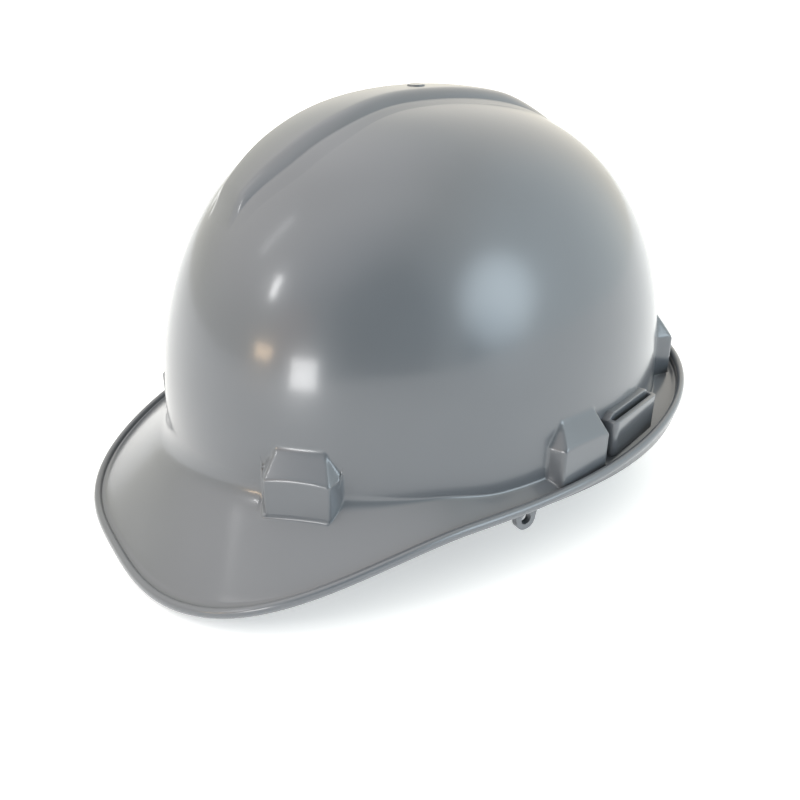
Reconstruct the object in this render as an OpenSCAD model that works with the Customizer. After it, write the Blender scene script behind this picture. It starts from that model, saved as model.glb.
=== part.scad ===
// Safety helmet: moulded shell with six-point strap cradle and ratchet headband.
// The wearer looks along -Y, the wearer's left is +X, and +Z is up.

/* [Dome] */
// Width of the dome at its foot
dome_w = 200; // [185:1:210]
// Reach of the dome's foot in front of the crown
dome_front = 123; // [112:1:130]
// Reach of the dome's foot behind the crown
dome_rear = 136; // [125:1:140]
// Height of the dome above its foot
dome_h = 142; // [130:1:155]
// Squareness of the dome seen from above
dome_plan = 2.05; // [2:0.01:2.3]
// Squareness of the dome seen from the side
dome_side = 2.32; // [2:0.01:2.6]
// Thickness of the shell
wall = 2.4; // [2:0.1:3]
// Height of the crown ridge
ridge_h = 4.6; // [2:0.1:7]
// Width of the ridge between its two creases
ridge_top = 28; // [22:1:36]
// Width of the rounded shoulder inside each crease
ridge_slope = 6.5; // [5:0.5:8]
// Width of the low ledge outside each crease
ridge_ledge = 6.5; // [4:0.5:8]
// Where the ridge starts in front of the crown
ridge_front = 97; // [80:1:104]
// Where the ridge ends behind the crown
ridge_rear = 84; // [60:1:100]

/* [Brim] */
// Reach of the brim beyond the dome at the sides
brim_side = 11; // [9:0.5:18]
// Reach of the visor in front of the crown
visor_reach = 158.5; // [150:0.5:170]
// Reach of the brim behind the crown
brim_rear = 145; // [143:0.5:155]
// Drop of the visor's edge below the side edge
visor_drop = 31.5; // [20:0.5:38]
// Rise of the rear edge above the side edge
rear_rise = 19.5; // [10:0.5:24]
// Depth of the side edge below the dome's foot line
side_drop = 6.5; // [4:0.5:10]
// Dip of the dome's foot at the sides
foot_dip = 3.4; // [0:0.1:5]
// Rise of the dome's foot at the rear
foot_rise = 11.5; // [6:0.5:14]
// Width of the rolled edge
lip_w = 3.6; // [3:0.1:5]
// Depth of the rain gutter at the rear
gutter = 4.2; // [2:0.1:6]

/* [Bosses] */
// How far a boss stands out
boss_out = 6.6; // [6:0.1:8]
// Width of a boss at its root
boss_root = 34; // [32:1:38]
// Width of a boss's front face
boss_face = 27; // [24:1:30]
// Width of a boss's top edge
boss_top = 20; // [14:1:22]
// Height of a boss's top edge
boss_h = 22.5; // [20:0.5:28]
// Height of the front face's upper edge
boss_face_h = 11.5; // [9:0.5:14]
// How much higher the rear bosses stand
rear_lift = 14; // [8:1:18]

/* [Accessory slots] */
// Length of a slot pocket
slot_len = 40; // [34:1:42]
// Height of a slot pocket's rim
slot_h = 15; // [12:0.5:18]
// Width of the slit
slot_gap = 1.8; // [1.5:0.1:2.4]
// Thickness of the slot pocket's wall
slot_wall = 2.4; // [2:0.1:3]
// How far the pad behind the slit stands out of the dome
slot_pad = 2.2; // [1.8:0.1:2.6]
// How far the pad rises above the slot pocket's rim
slot_rise = 2.5; // [1:0.5:4]
// Radius of the moulding mark on the crown
gate_r = 4; // [2:0.5:6]

/* [Chin strap lugs] */
// Radius of the eye
eye_r = 2.5; // [1.5:0.1:3.2]
// Thickness of a lug
lug_t = 3; // [2:0.1:4]
// Depth of the eye below the dome's foot line
eye_drop = 15.5; // [13.5:0.5:18]
// Where the lugs sit in front of the crown
lug_y = 12; // [5:1:20]

/* [Headband] */
// Width of the headband
band_w = 158; // [150:1:162]
// Reach of the headband in front of the crown
band_front = 103; // [98:1:106]
// Thickness of the headband
band_t = 1.8; // [1.4:0.1:2.2]
// Height of the headband at the brow
brow_h = 32; // [28:1:36]
// Height of the headband at the temples
temple_h = 24; // [22:1:28]
// Height of the brow's middle above the dome's foot line
brow_z = 12; // [8:1:16]
// Thickness of the sweatband
sweat_t = 3.4; // [2:0.1:5]

/* [Cradle] */
// Width of the crown webbing
web_w = 22; // [18:1:23]
// Thickness of the crown webbing
web_t = 1.4; // [1:0.1:1.8]
// Height of the lowest webbing at the crown
web_top = 104; // [96:1:108]
// Thickness of a hanger key's plates
key_t = 2.8; // [2:0.1:3]
// Radius of the crown pad
pad_r = 24; // [18:1:26]
// Thickness of the crown pad
pad_t = 6; // [4:0.5:8]

/* [Ratchet] */
// Teeth on the pinion
pinion_teeth = 10; // [10:2:12]
// Module of the pinion and racks
gear_m = 1.2; // [1.1:0.05:1.25]
// Thickness of a rack strap
rack_t = 1.8; // [1.4:0.1:2]
// Height of a rack strap
rack_h = 22; // [22:0.5:24]
// How far a rack can be drawn in from rest
draw_in = 16; // [8:0.5:16]
// How far a rack can be let out from rest
let_out = 16; // [8:0.5:16]
// Width of the nape housing
nape_w = 88; // [84:1:96]
// Thickness of the nape covers
cover_t = 2.2; // [1.8:0.1:2.6]
// Radius of the dial
knob_r = 16.2; // [15:0.2:16.6]
// Depth of the dial
knob_d = 13; // [11:0.5:16]
// Teeth in the click ring
click_teeth = 24; // [18:2:30]
// Radius of the pinion's shaft
shaft_r = 3; // [2.5:0.1:3.4]

/* [Hidden] */

gap = 0.3;
run_gap = 0.08;
visor_square = 2.86;
rear_square = 2.33;
lip_under = 3.2;
brim_w = dome_w + 2 * brim_side;
stand_h = side_drop + visor_drop + lip_under;
shift_y = (visor_reach - brim_rear) / 2;
shell_grey = [0.52, 0.54, 0.56];
nylon_black = [0.12, 0.12, 0.13];
web_grey = [0.22, 0.23, 0.25];

module place() {
    translate([0, shift_y, stand_h]) children();
}

// Boss directions, seen from above, from the wearer's left towards the rear
front_at = -56;
side_at = 11;
rear_at = 68;
slot_at = 31;
boss_at = [-180 - front_at, front_at, side_at, rear_at, 180 - rear_at, 180 - side_at];

function clamp01(t) = min(1, max(0, t));
function smooth(t) = let(u = clamp01(t)) u * u * (3 - 2 * u);

// The dome is a superellipse in plan that shrinks with height by another superellipse.
function polar(a, w, front, rear, nf, nr) =
    let(n = sin(a) < 0 ? nf : nr, b = sin(a) < 0 ? front : rear)
    1 / pow(pow(abs(cos(a)) / w, n) + pow(abs(sin(a)) / b, n), 1 / n);
function foot_r(a, off = 0) =
    polar(a, dome_w / 2 - off, dome_front - off, dome_rear - off, dome_plan, dome_plan);
function rim_r(a) = polar(a, brim_w / 2, visor_reach, brim_rear, visor_square, rear_square);
function shrink(z, off = 0) =
    z <= 0 ? 1 : pow(max(0, 1 - pow(z / (dome_h - off), dome_side)), 1 / dome_side);
function dome_pt(a, z, off = 0) =
    let(r = foot_r(a, off) * shrink(z, off)) [r * cos(a), r * sin(a)];

// The dome's foot and the rim both climb behind turn_y, and the visor dips ahead of it.
turn_y = -20;
climb = 1.65;
dip_from = 50;
dip_run = 30;
gutter_least = 0.3;
gutter_run = 100;
function rear_t(y) = clamp01((y - turn_y) / (brim_rear - turn_y));
function front_t(y) = clamp01(((turn_y - y) / (visor_reach + turn_y) - 0.15) / 0.85);
function foot_z(a) = let(y = foot_r(a) * sin(a))
    -foot_dip * smooth((y + dip_from) / dip_run) + foot_rise * pow(rear_t(y), climb);
function rim_z(a) = let(y = rim_r(a) * sin(a), f = front_t(y))
    -side_drop - visor_drop * (0.45 * smooth(f) + 0.55 * f * f) + rear_rise * pow(rear_t(y), climb);
function gutter_d(a) = let(y = rim_r(a) * sin(a))
    gutter_least + gutter * smooth((y - turn_y) / gutter_run);

// A boss is a hipped box on the dome; boss_reach is how far it stands off the dome.
boss_over = 0.9;
lift_from = 50;
lift_run = 50;
lift_fade = 45;
function boss_lift(a) = rear_lift * smooth((foot_r(a) * sin(a) - lift_from) / lift_run);
function boss_n(b) = let(d = dome_pt(b + 0.1, 0) - dome_pt(b - 0.1, 0)) [d[1], -d[0]] / norm(d);
function boss_reach(b, p, z) =
    let(n = boss_n(b), t = [-n[1], n[0]], c = dome_pt(b, 0), u = abs((p - c) * t), v = (p - c) * n,
        full = boss_out + boss_over, dz = boss_h - boss_face_h, half = boss_root / 2,
        up = z - boss_face_h - boss_lift(b),
        side = full * (half - u) / (half - boss_face / 2),
        top = full * (dz - up) / dz,
        hip = full * ((half - u) * dz - up * (half - boss_top / 2)) / ((half - boss_face / 2) * dz))
    max(0, min(boss_out - v, side, top, hip));
function turn_between(a, b) = abs(((a - b) % 360 + 540) % 360 - 180);
function with_boss(a, z, off) =
    let(p = dome_pt(a, z, off), o = dome_pt(a, z * dome_h / (dome_h - off)),
        lifts = [for (b = boss_at) if (turn_between(a, b) < 15) boss_reach(b, o, z) * boss_n(b)])
    len(lifts) == 0 ? p : p + lifts[0];

// The ridge is a strip laid over the dome: it starts in a blunt nose and fades out behind.
// Across, it has a flat top, a shoulder that rolls down to a crease, and a low ledge.
function dome_z(x, y) =
    let(b = y < 0 ? dome_front : dome_rear,
        s = pow(abs(x) / (dome_w / 2), dome_plan) + pow(abs(y) / b, dome_plan))
    dome_h * pow(max(0, 1 - pow(s, dome_side / dome_plan)), 1 / dome_side);
nose_run = 30;
slim_from = 50;
slim_run = 35;
flare_from = 60;
flare_run = 30;
rise_run = 12;
fall_run = 45;
ridge_low = 1.9;
ridge_sunk = 0.3;
ridge_edge = 0.6;
function ridge_ring(y) =
    let(nose = smooth((y + ridge_front) / nose_run), tail = smooth(y / ridge_rear),
        t = ridge_top / 2 * (0.79 + 0.46 * nose - 0.24 * smooth((y + slim_from) / slim_run)),
        f = t + ridge_ledge * (1 + 0.4 * (nose - smooth((y + flare_from) / flare_run)) - 0.4 * tail),
        h = ridge_h * smooth((y + ridge_front) / rise_run) * smooth((ridge_rear - y) / fall_run),
        half = [[t - ridge_slope, h - ridge_sunk], [t - 0.4 * ridge_slope, 0.74 * h - ridge_sunk],
            [t, 0.26 * h - ridge_sunk], [f - ridge_edge, 0.12 * h - ridge_sunk],
            [f, 0.1 - ridge_edge], [f, -ridge_low], [t, -ridge_low]],
        left = [for (i = [6:-1:0]) [-half[i][0], half[i][1]]])
    [for (c = concat([[0, h - ridge_sunk]], half, [[0, -ridge_low]], left))
        [c[0], y, dome_z(c[0], y) + c[1]]];
module ridge() {
    n = 28;
    rings_solid([for (i = [n:-1:0]) ridge_ring(-ridge_front + (ridge_front + ridge_rear) * i / n)]);
}

// Columns of the shell run through the corners of every boss, with even steps between.
function boss_col(b, u, a, n) = n == 0 ? a :
    let(m = boss_n(b), t = [-m[1], m[0]], now = (dome_pt(a, 0) - dome_pt(b, 0)) * t)
    boss_col(b, u, a + (u - now) / foot_r(a) * 180 / PI, n - 1);
boss_steps = [-boss_root, -boss_face, -boss_top, 0, boss_top, boss_face, boss_root] / 2;
boss_sets = [for (b = boss_at) [for (u = boss_steps) boss_col(b, u, b, 4)]];
col_step = 6.5;
function gap_cols(a, b) = let(n = max(1, round((b - a) / col_step)))
    [for (i = [1:1:n - 1]) a + (b - a) * i / n];
cols = [for (i = [0:5]) each concat(boss_sets[i],
    gap_cols(boss_sets[i][6], i < 5 ? boss_sets[i + 1][0] : boss_sets[0][0] + 360))];

// Rows of the dome: the boss heights, then shares of its height, then shares of its width.
row_share = [0.24, 0.34, 0.45, 0.56, 0.67, 0.76, 0.83];
row_wide = [0.48, 0.38, 0.29, 0.21, 0.14, 0.07];
rows = concat([boss_face_h, boss_h], row_share * dome_h,
    [for (k = row_wide) dome_h * pow(1 - pow(k, dome_side), 1 / dome_side)]);

function wall_pt(a, z, off) =
    let(up = z + boss_lift(a) * clamp01(1 - (z - boss_h) / lift_fade), zz = up * (dome_h - off) / dome_h,
        p = with_boss(a, zz, off))
    [p[0], p[1], zz];
function rho_pt(a, r, z) = [r * cos(a), r * sin(a), z];

// One column from the crown down the outside, round the rolled edge and up the inside
function profile(a) =
    let(rd = norm(with_boss(a, 0, 0)), rr = rim_r(a), zf = foot_z(a), zr = rim_z(a),
        ze = zr - gutter_d(a), re = rr - lip_w, w = lip_w / 9,
        z0 = zf + (ze - zf) / (re - foot_r(a)) * (rd - foot_r(a)),
        zb = min(zr - lip_under + 1.5 * w, ze - 5 * w))
    concat(
        [for (i = [len(rows) - 1:-1:0]) wall_pt(a, rows[i], 0)],
        [rho_pt(a, rd, z0), rho_pt(a, re, ze), rho_pt(a, rr - 7.5 * w, zr + 3 * w),
         rho_pt(a, rr - 4.5 * w, zr + 4.5 * w), rho_pt(a, rr - w, zr + 2.5 * w), rho_pt(a, rr, zr - 1.5 * w),
         rho_pt(a, rr - 2 * w, zb), rho_pt(a, rr - 5.5 * w, zb - 1.5 * w), rho_pt(a, re - w, ze - wall),
         rho_pt(a, rd - wall, z0 - wall)],
        [for (i = [0:len(rows) - 1]) wall_pt(a, rows[i], wall)]);

// Closes rings of points into a solid. Each ring runs the same way round.
function ring_faces(n, m) = [for (i = [0:n - 2], k = [0:m - 1]) let(l = (k + 1) % m) each
    [[i * m + k, i * m + l, (i + 1) * m + l], [i * m + k, (i + 1) * m + l, (i + 1) * m + k]]];
module rings_solid(rings) {
    n = len(rings);
    m = len(rings[0]);
    ends = [for (k = [1:m - 2]) each [[0, k + 1, k], [(n - 1) * m, (n - 1) * m + k, (n - 1) * m + k + 1]]];
    polyhedron([for (r = rings) each r], concat(ring_faces(n, m), ends), convexity = 10);
}

module shell_skin() {
    rings = [for (a = cols) profile(a)];
    n = len(rings);
    m = len(rings[0]);
    tips = [[0, 0, dome_h], [0, 0, dome_h - wall]];
    skin = [for (i = [0:n - 1]) let(j = (i + 1) % n) for (k = [0:m - 2]) each
        [[i * m + k, j * m + k + 1, i * m + k + 1], [i * m + k, j * m + k, j * m + k + 1]]];
    poles = [for (i = [0:n - 1]) let(j = (i + 1) % n) each
        [[n * m, j * m, i * m], [n * m + 1, i * m + m - 1, j * m + m - 1]]];
    polyhedron(concat([for (r = rings) each r], tips), concat(skin, poles), convexity = 10);
}

// Local axes at a direction on the dome's foot: X along the wall, Y outwards
module at_foot(b) {
    n = boss_n(b);
    c = dome_pt(b, 0);
    translate([c[0], c[1], 0]) rotate([0, 0, atan2(n[1], n[0]) - 90]) children();
}

module upright(p, q, r, z0, z1, n = 16) {
    hull() {
        translate([p[0], p[1], z0]) cylinder(r = r, h = z1 - z0, $fn = n);
        translate([q[0], q[1], z0]) cylinder(r = r, h = z1 - z0, $fn = n);
    }
}

slot_in = 1.8;
pad_half = 2;
module slot_pocket(b) {
    r = slot_wall / 2;
    e = slot_len / 2 - r;
    out = slot_pad + slot_gap + slot_wall / 2;
    z0 = foot_z(b) - wall / 2;
    at_foot(b) {
        upright([-e, out], [e, out], r, z0, slot_h);
        upright([-e, -slot_in], [-e, out], r, z0, slot_h);
        upright([e, -slot_in], [e, out], r, z0, slot_h);
        upright([-e, slot_pad - pad_half], [e, slot_pad - pad_half], pad_half, z0, slot_h + slot_rise);
    }
}

// The dome's wall carries on behind each boss, so the boss is a pocket open below.
pocket_r = 0.3 * wall;
pocket_inset = 0.38;
pocket_end = 1.2;
module pocket_wall(b) {
    top = boss_h - 1;
    e = (boss_root / 2 - pocket_end) / foot_r(b) * 180 / PI;
    plan = [for (i = [-2:2]) dome_pt(b + e * i / 2, top, pocket_r + pocket_inset)];
    for (i = [0:3]) upright(plan[i], plan[i + 1], pocket_r, key_z(b) + gap, top, 6);
}

gate_h = 0.4;
module shell() {
    color(shell_grey) place() union() {
        shell_skin();
        ridge();
        translate([0, 0, dome_h + ridge_h - 1]) cylinder(r = gate_r, h = 1 + gate_h, $fn = 32);
        slot_pocket(slot_at);
        slot_pocket(180 - slot_at);
        for (b = boss_at) pocket_wall(b);
    }
}

// Each lug is a rounded tab under the side of the brim with an eye across it.
lug_in = 3.4;
lug_rim = 2.6;
lug_half = 7.5;
lug_x = brim_w / 2 - lip_w - lug_in;
module chin_strap_lugs() {
    color(shell_grey) place() for (s = [-1, 1]) translate([s * lug_x, -lug_y, 0])
        rotate([90, 0, 90]) difference() {
            translate([0, 0, -lug_t / 2]) linear_extrude(lug_t) {
                translate([0, -eye_drop]) circle(r = eye_r + lug_rim, $fn = 40);
                polygon([[-lug_half, -side_drop], [lug_half, -side_drop],
                    [eye_r + lug_rim - 0.4, -eye_drop - 1.2], [-eye_r - lug_rim + 0.4, -eye_drop - 1.2]]);
            }
            translate([0, -eye_drop, -lug_t]) cylinder(r = eye_r, h = 2 * lug_t, $fn = 48);
        }
}

// The headband is an ellipse in plan that slopes down towards the nape.
band_back = 101;
nape_h = 34;
nape_z = nape_h / 2 - stand_h;
band_slope = (brow_z - nape_z) / (band_front + band_back);
function band_z(y) = brow_z - band_slope * (y + band_front);
function brow_pt(a, off) = [(band_w / 2 - off) * cos(a), (band_front - off) * sin(a)];
function bar(p, n, t, z, h) = [
    [p[0], p[1], z - h / 2], [p[0], p[1], z + h / 2],
    [p[0] - n[0] * t, p[1] - n[1] * t, z + h / 2], [p[0] - n[0] * t, p[1] - n[1] * t, z - h / 2]];
function brow_n(a) = let(v = [cos(a) / band_w * 2, sin(a) / band_front]) v / norm(v);
function brow_bar(a) = let(p = brow_pt(a, 0), h = temple_h + (brow_h - temple_h) * pow(abs(sin(a)), 3))
    bar(p, brow_n(a), band_t, band_z(p[1]), h);

// Where a hanger key's arm meets the band, along the dome's own outward direction
band_keys = [boss_at[0], boss_at[1], boss_at[2], boss_at[5]];
temple_a = 18;
function band_v(b) =
    let(c = dome_pt(b, 0), n = boss_n(b), w = band_w / 2, f = band_front,
        i = pow(n[0] / w, 2) + pow(n[1] / f, 2),
        j = c[0] * n[0] / w / w + c[1] * n[1] / f / f,
        k = pow(c[0] / w, 2) + pow(c[1] / f, 2) - 1)
    (sqrt(j * j - i * k) - j) / i;
function key_z(b) = foot_z(b) - 3;
function stud_z(b) = key_z(b) + 5;
stud_r = 2.2;
module at_band(b) {
    at_foot(b) translate([0, band_v(b), 0]) children();
}

module front_band() {
    color(nylon_black) place() difference() {
        rings_solid([for (i = [48:-1:0]) brow_bar(temple_a - i * (180 + 2 * temple_a) / 48)]);
        for (b = band_keys) at_band(b) translate([0, 3, stud_z(b)])
            rotate([90, 0, 0]) cylinder(r = stud_r + gap / 2, h = 10, $fn = 32);
    }
}

// The flexible stretch from the temple to the rack, a Bezier curve in plan
rack_end = 40;
function strap_y(s) = band_back + (s > 0 ? 0 : rack_t + 2 * gap);
function mix3(p, t) = pow(1 - t, 3) * p[0] + 3 * t * pow(1 - t, 2) * p[1]
    + 3 * t * t * (1 - t) * p[2] + t * t * t * p[3];
function slope3(p, t) = pow(1 - t, 2) * (p[1] - p[0]) + 2 * t * (1 - t) * (p[2] - p[1])
    + t * t * (p[3] - p[2]);
function side_path(s) =
    let(y = strap_y(s) + rack_t, p = brow_pt(temple_a, 0), n = brow_n(temple_a))
    [p, p + 38 * [-n[1], n[0]], [64, y], [rack_end, y]];
function side_bar(s, t) =
    let(p = mix3(side_path(s), t), d = slope3(side_path(s), t), n = [d[1], -d[0]] / norm(d),
        z0 = band_z(p[1]) * (1 - t) + nape_z * t,
        h0 = temple_h + (brow_h - temple_h) * pow(sin(temple_a), 3),
        q = bar(p, n, band_t, z0, h0 + (rack_h - h0) * t))
    [for (c = q) [s * c[0], c[1], c[2]]];
module side_band(s) {
    rings = [for (i = [0:20]) side_bar(s, i / 20)];
    color(nylon_black) place() rings_solid(s > 0 ? rings : [for (i = [20:-1:0]) rings[i]]);
}

// The sweatband lines the brow: a thin cushion with a crowned face and drawn-in edges.
sweat_h = 38;
function sweat_ring(a) =
    let(fade = smooth((abs(sin(a)) - 0.12) / 0.3), t = 1 + (sweat_t - 1) * fade, n = brow_n(a),
        p = brow_pt(a, band_t + gap), z = band_z(p[1]), h = (sweat_h - 8 + 8 * fade) / 2)
    [for (c = [[0, -0.86], [0, 0.86], [0.45, 1], [0.9, 0.86], [1, 0.3], [1, -0.3], [0.9, -0.86], [0.45, -1]])
        [p[0] - n[0] * t * c[0], p[1] - n[1] * t * c[0], z + h * c[1]]];
module sweatband() {
    color([0.2, 0.2, 0.21]) place() rings_solid([for (i = [48:-1:0]) sweat_ring(-9 - i * 3.375)]);
}

// A hanger key hooks up into a boss pocket, carries the webbing and, at four bosses, the band.
key_w = web_w + 4;
tongue_w = 17;
tongue_top = boss_face_h + 1.5;
tongue_v = -0.6 + gap;
plate_v = -4.6;
web_z = 16;
key_top = web_z + 4.6;
module key(b, with_arm) {
    z0 = key_z(b);
    low = z0 - key_t;
    arm = -band_v(b) - gap;
    color(nylon_black) place() at_foot(b) difference() {
        union() {
            translate([-tongue_w / 2, tongue_v, low]) cube([tongue_w, key_t, tongue_top - low]);
            translate([-tongue_w / 2, plate_v - key_t, low])
                cube([tongue_w, tongue_v - plate_v + 2 * key_t, key_t]);
            translate([-key_w / 2, plate_v - key_t, low]) cube([key_w, key_t, key_top - low]);
            if (with_arm) {
                translate([-5, -arm, low]) cube([10, arm + plate_v, key_t]);
                translate([-7, -arm, low]) cube([14, key_t, stud_z(b) + 6 - low]);
            }
        }
        translate([-web_w / 2 - gap, plate_v - key_t - 1, web_z - web_slot / 2])
            cube([web_w + 2 * gap, key_t + 2, web_slot]);
        if (with_arm) translate([0, plate_v - key_t - 1, stud_z(b)])
            rotate([90, 0, 0]) cylinder(r = stud_r + gap / 2, h = arm, $fn = 32);
    }
}

module band_studs() {
    color(nylon_black) place() for (b = band_keys) at_band(b) translate([0, 0, stud_z(b)]) {
        translate([0, key_t + 2 * gap, 0]) rotate([90, 0, 0])
            cylinder(r = stud_r, h = key_t + band_t + 2 * gap, $fn = 24);
        translate([0, key_t + 2 * gap + 1.4, 0]) rotate([90, 0, 0])
            cylinder(r = stud_r + 1.8, h = 1.4, $fn = 24);
    }
}

// Webbing runs from one key over the crown to the key across from it. A hem stops each end.
web_slot = web_t + 2 * gap;
function key_pt(b, v) = let(n = boss_n(b), c = dome_pt(b, 0)) c + n * v;
function web_mid(p, q, top, t) =
    let(c = (q - p) / 2 * t + (p + q) / 2 * t * t, e = web_z + 3)
    [c[0], c[1], e + (top - e) * pow(max(0, 1 - pow(abs(t), 2.6)), 0.75)];
function web_line(b, d, top) =
    let(v = plate_v - key_t - 2.4, e = plate_v + gap, p = key_pt(b, v), q = key_pt(d, v),
        ends = [e + hem_t, e, e, v + 2])
    concat([for (k = [0:3]) let(c = key_pt(b, ends[k])) [c[0], c[1], web_z]],
        [for (i = [-12:12]) web_mid(p, q, top, i / 12)],
        [for (k = [3:-1:0]) let(c = key_pt(d, ends[k])) [c[0], c[1], web_z]]);
function unit(v) = v / norm(v);
function key_side(b) = let(n = boss_n(b)) [-n[1], n[0], 0];
function web_ring(line, b, d, i) =
    let(n = len(line), a = line[max(0, i - 1)], c = line[min(n - 1, i + 1)],
        flat = line[n - 1] - line[0], w0 = unit(cross([0, 0, 1], [flat[0], flat[1], 0])),
        f = 1 - smooth((i - 5) / 9), g = 1 - smooth((n - 6 - i) / 9),
        w = unit(w0 * (1 - f - g) + key_side(b) * f * sign(key_side(b) * w0)
                 + key_side(d) * g * sign(key_side(d) * w0)),
        k = unit(cross(c - a, w)), p = line[i], hem = min(i, n - 1 - i) < 2,
        hw = web_w / 2 - (hem ? 0.1 : 0.4), ht = web_t * (hem ? 1.6 : 0.5))
    [p - w * hw - k * ht, p - w * hw + k * ht, p + w * hw + k * ht, p + w * hw - k * ht];
hem_t = 0.7;
module crown_strap(b, d, layer) {
    line = web_line(b, d, web_top + layer * (web_t + 2 * gap));
    color(web_grey) place() rings_solid([for (i = [0:len(line) - 1]) web_ring(line, b, d, i)]);
}

// The crown pad is a round cushion under the webbing's crossing.
module crown_pad() {
    top = web_top - web_t / 2 - gap;
    arc = [for (i = [0:4]) let(r = pad_r * i / 4) [r, top - 4.4 * pow(i / 4, 2)]];
    low = [for (t = [15:15:90]) [pad_r * sqrt(cos(t)), top - 4.4 - pad_t * sqrt(sin(t))]];
    color([0.16, 0.16, 0.17]) place() rotate_extrude($fn = 40) polygon(concat(arc, low));
}

// The ratchet: two racks cross behind the nape and a pinion drives them apart or together.
pitch_r = pinion_teeth * gear_m / 2;
tooth_up = 0.7 * gear_m;
tooth_down = 0.92 * gear_m;
backlash = 0.16;
press_a = 25;
pitch = PI * gear_m;
function inv(a) = tan(a) - a * PI / 180;
function involute_at(r) = let(rb = pitch_r * cos(press_a)) r <= rb ? 0 : inv(acos(rb / r));
function tooth_half(r) = ((pitch / 2 - backlash) / 2 / pitch_r + inv(press_a) - involute_at(r)) * 180 / PI;
module gear_2d() {
    rs = [for (i = [0:5]) pitch_r - tooth_down + (tooth_up + tooth_down) * i / 5];
    flank = [for (r = rs) [r, tooth_half(r)]];
    polygon([for (k = [0:pinion_teeth - 1]) each concat(
        [for (i = [0:5]) let(a = 90 + k * 360 / pinion_teeth - flank[i][1]) flank[i][0] * [cos(a), sin(a)]],
        [for (i = [5:-1:0]) let(a = 90 + k * 360 / pinion_teeth + flank[i][1])
            flank[i][0] * [cos(a), sin(a)]])]);
}
function rack_tooth(x) =
    let(w = (pitch / 2 - backlash) / 2, g = tan(press_a))
    [[x - w - tooth_down * g, pitch_r + tooth_down], [x - w + tooth_up * g, pitch_r - tooth_up],
     [x + w - tooth_up * g, pitch_r - tooth_up], [x + w + tooth_down * g, pitch_r + tooth_down]];
module rack_2d() {
    first = -ceil((let_out + 4) / pitch) + 0.5;
    last = ceil((draw_in + 4) / pitch) - 0.5;
    x0 = (first - 1) * pitch + 0.6;
    x1 = (last + 1) * pitch - 0.6;
    difference() {
        translate([x0 - 3.4, -rack_h / 2]) square([rack_end - x0 + 3.4, rack_h]);
        polygon(concat([[x0, -8.2], [x0, pitch_r + tooth_down]],
            [for (k = [first:1:last]) each rack_tooth(k * pitch)],
            [[x1, pitch_r + tooth_down], [x1, -8.2]]));
    }
}
module rack(s) {
    color(nylon_black) place() translate([0, strap_y(s) + rack_t, nape_z])
        rotate([90, 0, 0]) linear_extrude(rack_t)
            if (s > 0) rack_2d(); else rotate(180) rack_2d();
}

// Depths of the nape unit, from the head outwards
gear_y0 = band_back - gap;
gear_y1 = strap_y(-1) + rack_t + gap;
inner_y = gear_y0 - gap - cover_t;
outer_y = gear_y1 + gap;
ring_y = outer_y + cover_t;
ring_d = 3;
click_r = knob_r - 4.6;
knob_y = ring_y + gap;
inner_in = 14;
inner_half = nape_w / 2 - inner_in;
journal_r = 2.2;
module in_nape(y) {
    translate([0, y, nape_z]) rotate([-90, 0, 0]) mirror([0, 1, 0]) children();
}
module rounded(w, h, r) {
    translate([-w / 2 + r, -h / 2]) square([w - 2 * r, h]);
    translate([-w / 2, -h / 2 + r]) square([w, h - 2 * r]);
    for (x = [-1, 1], y = [-1, 1]) translate([x * (w / 2 - r), y * (h / 2 - r)]) circle(r = r, $fn = 24);
}
screw_in = 5;
screw_x = inner_half - screw_in;
screw_len = 6.8;
head_r = 1.8;
head_h = 1;
rail_h = nape_h / 2 - rack_h / 2 - gap;
screw_z = (nape_h - rail_h) / 2;
screw_r = 0.9;
module screw_holes(r, y0, y1) {
    for (x = [-1, 1], z = [-1, 1]) translate([x * screw_x, z * screw_z, 0])
        translate([0, 0, y0]) cylinder(r = r, h = y1 - y0, $fn = 16);
}

module nape_cover_inner() {
    color(nylon_black) place() in_nape(inner_y) difference() {
        linear_extrude(cover_t) rounded(2 * inner_half, nape_h, 5);
        translate([0, 0, cover_t - 1.4]) cylinder(r = journal_r + run_gap, h = 5, $fn = 48);
        screw_holes(screw_r + 0.15, -1, cover_t + 1);
    }
}

module nape_cover_outer() {
    color(nylon_black) place() in_nape(0) difference() {
        union() {
            translate([0, 0, outer_y]) linear_extrude(cover_t) rounded(nape_w, nape_h, 5);
            for (low = [nape_h / 2 - rail_h, -nape_h / 2]) translate([-nape_w / 2 + 5, low, inner_y + cover_t])
                cube([nape_w - 10, rail_h, outer_y - inner_y - cover_t]);
            translate([0, 0, ring_y - 0.01]) cylinder(r = click_r + 2.2, h = ring_d, $fn = 64);
        }
        translate([0, 0, outer_y - 1]) cylinder(r = shaft_r + run_gap, h = 10, $fn = 48);
        translate([0, 0, ring_y]) linear_extrude(ring_d + 1) click_ring_2d();
        screw_holes(screw_r, 0, outer_y - 0.6);
    }
}
module click_ring_2d() {
    n = click_teeth;
    polygon([for (i = [0:n - 1]) each
        [click_r * [cos(i * 360 / n), sin(i * 360 / n)],
         (click_r - 0.9) * [cos((i + 0.25) * 360 / n), sin((i + 0.25) * 360 / n)]]]);
}

module nape_screws() {
    color([0.7, 0.7, 0.72]) place() in_nape(inner_y) {
        screw_holes(screw_r - 0.05, -0.1, screw_len);
        screw_holes(head_r, -head_h - 0.1, -0.1);
    }
}

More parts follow.
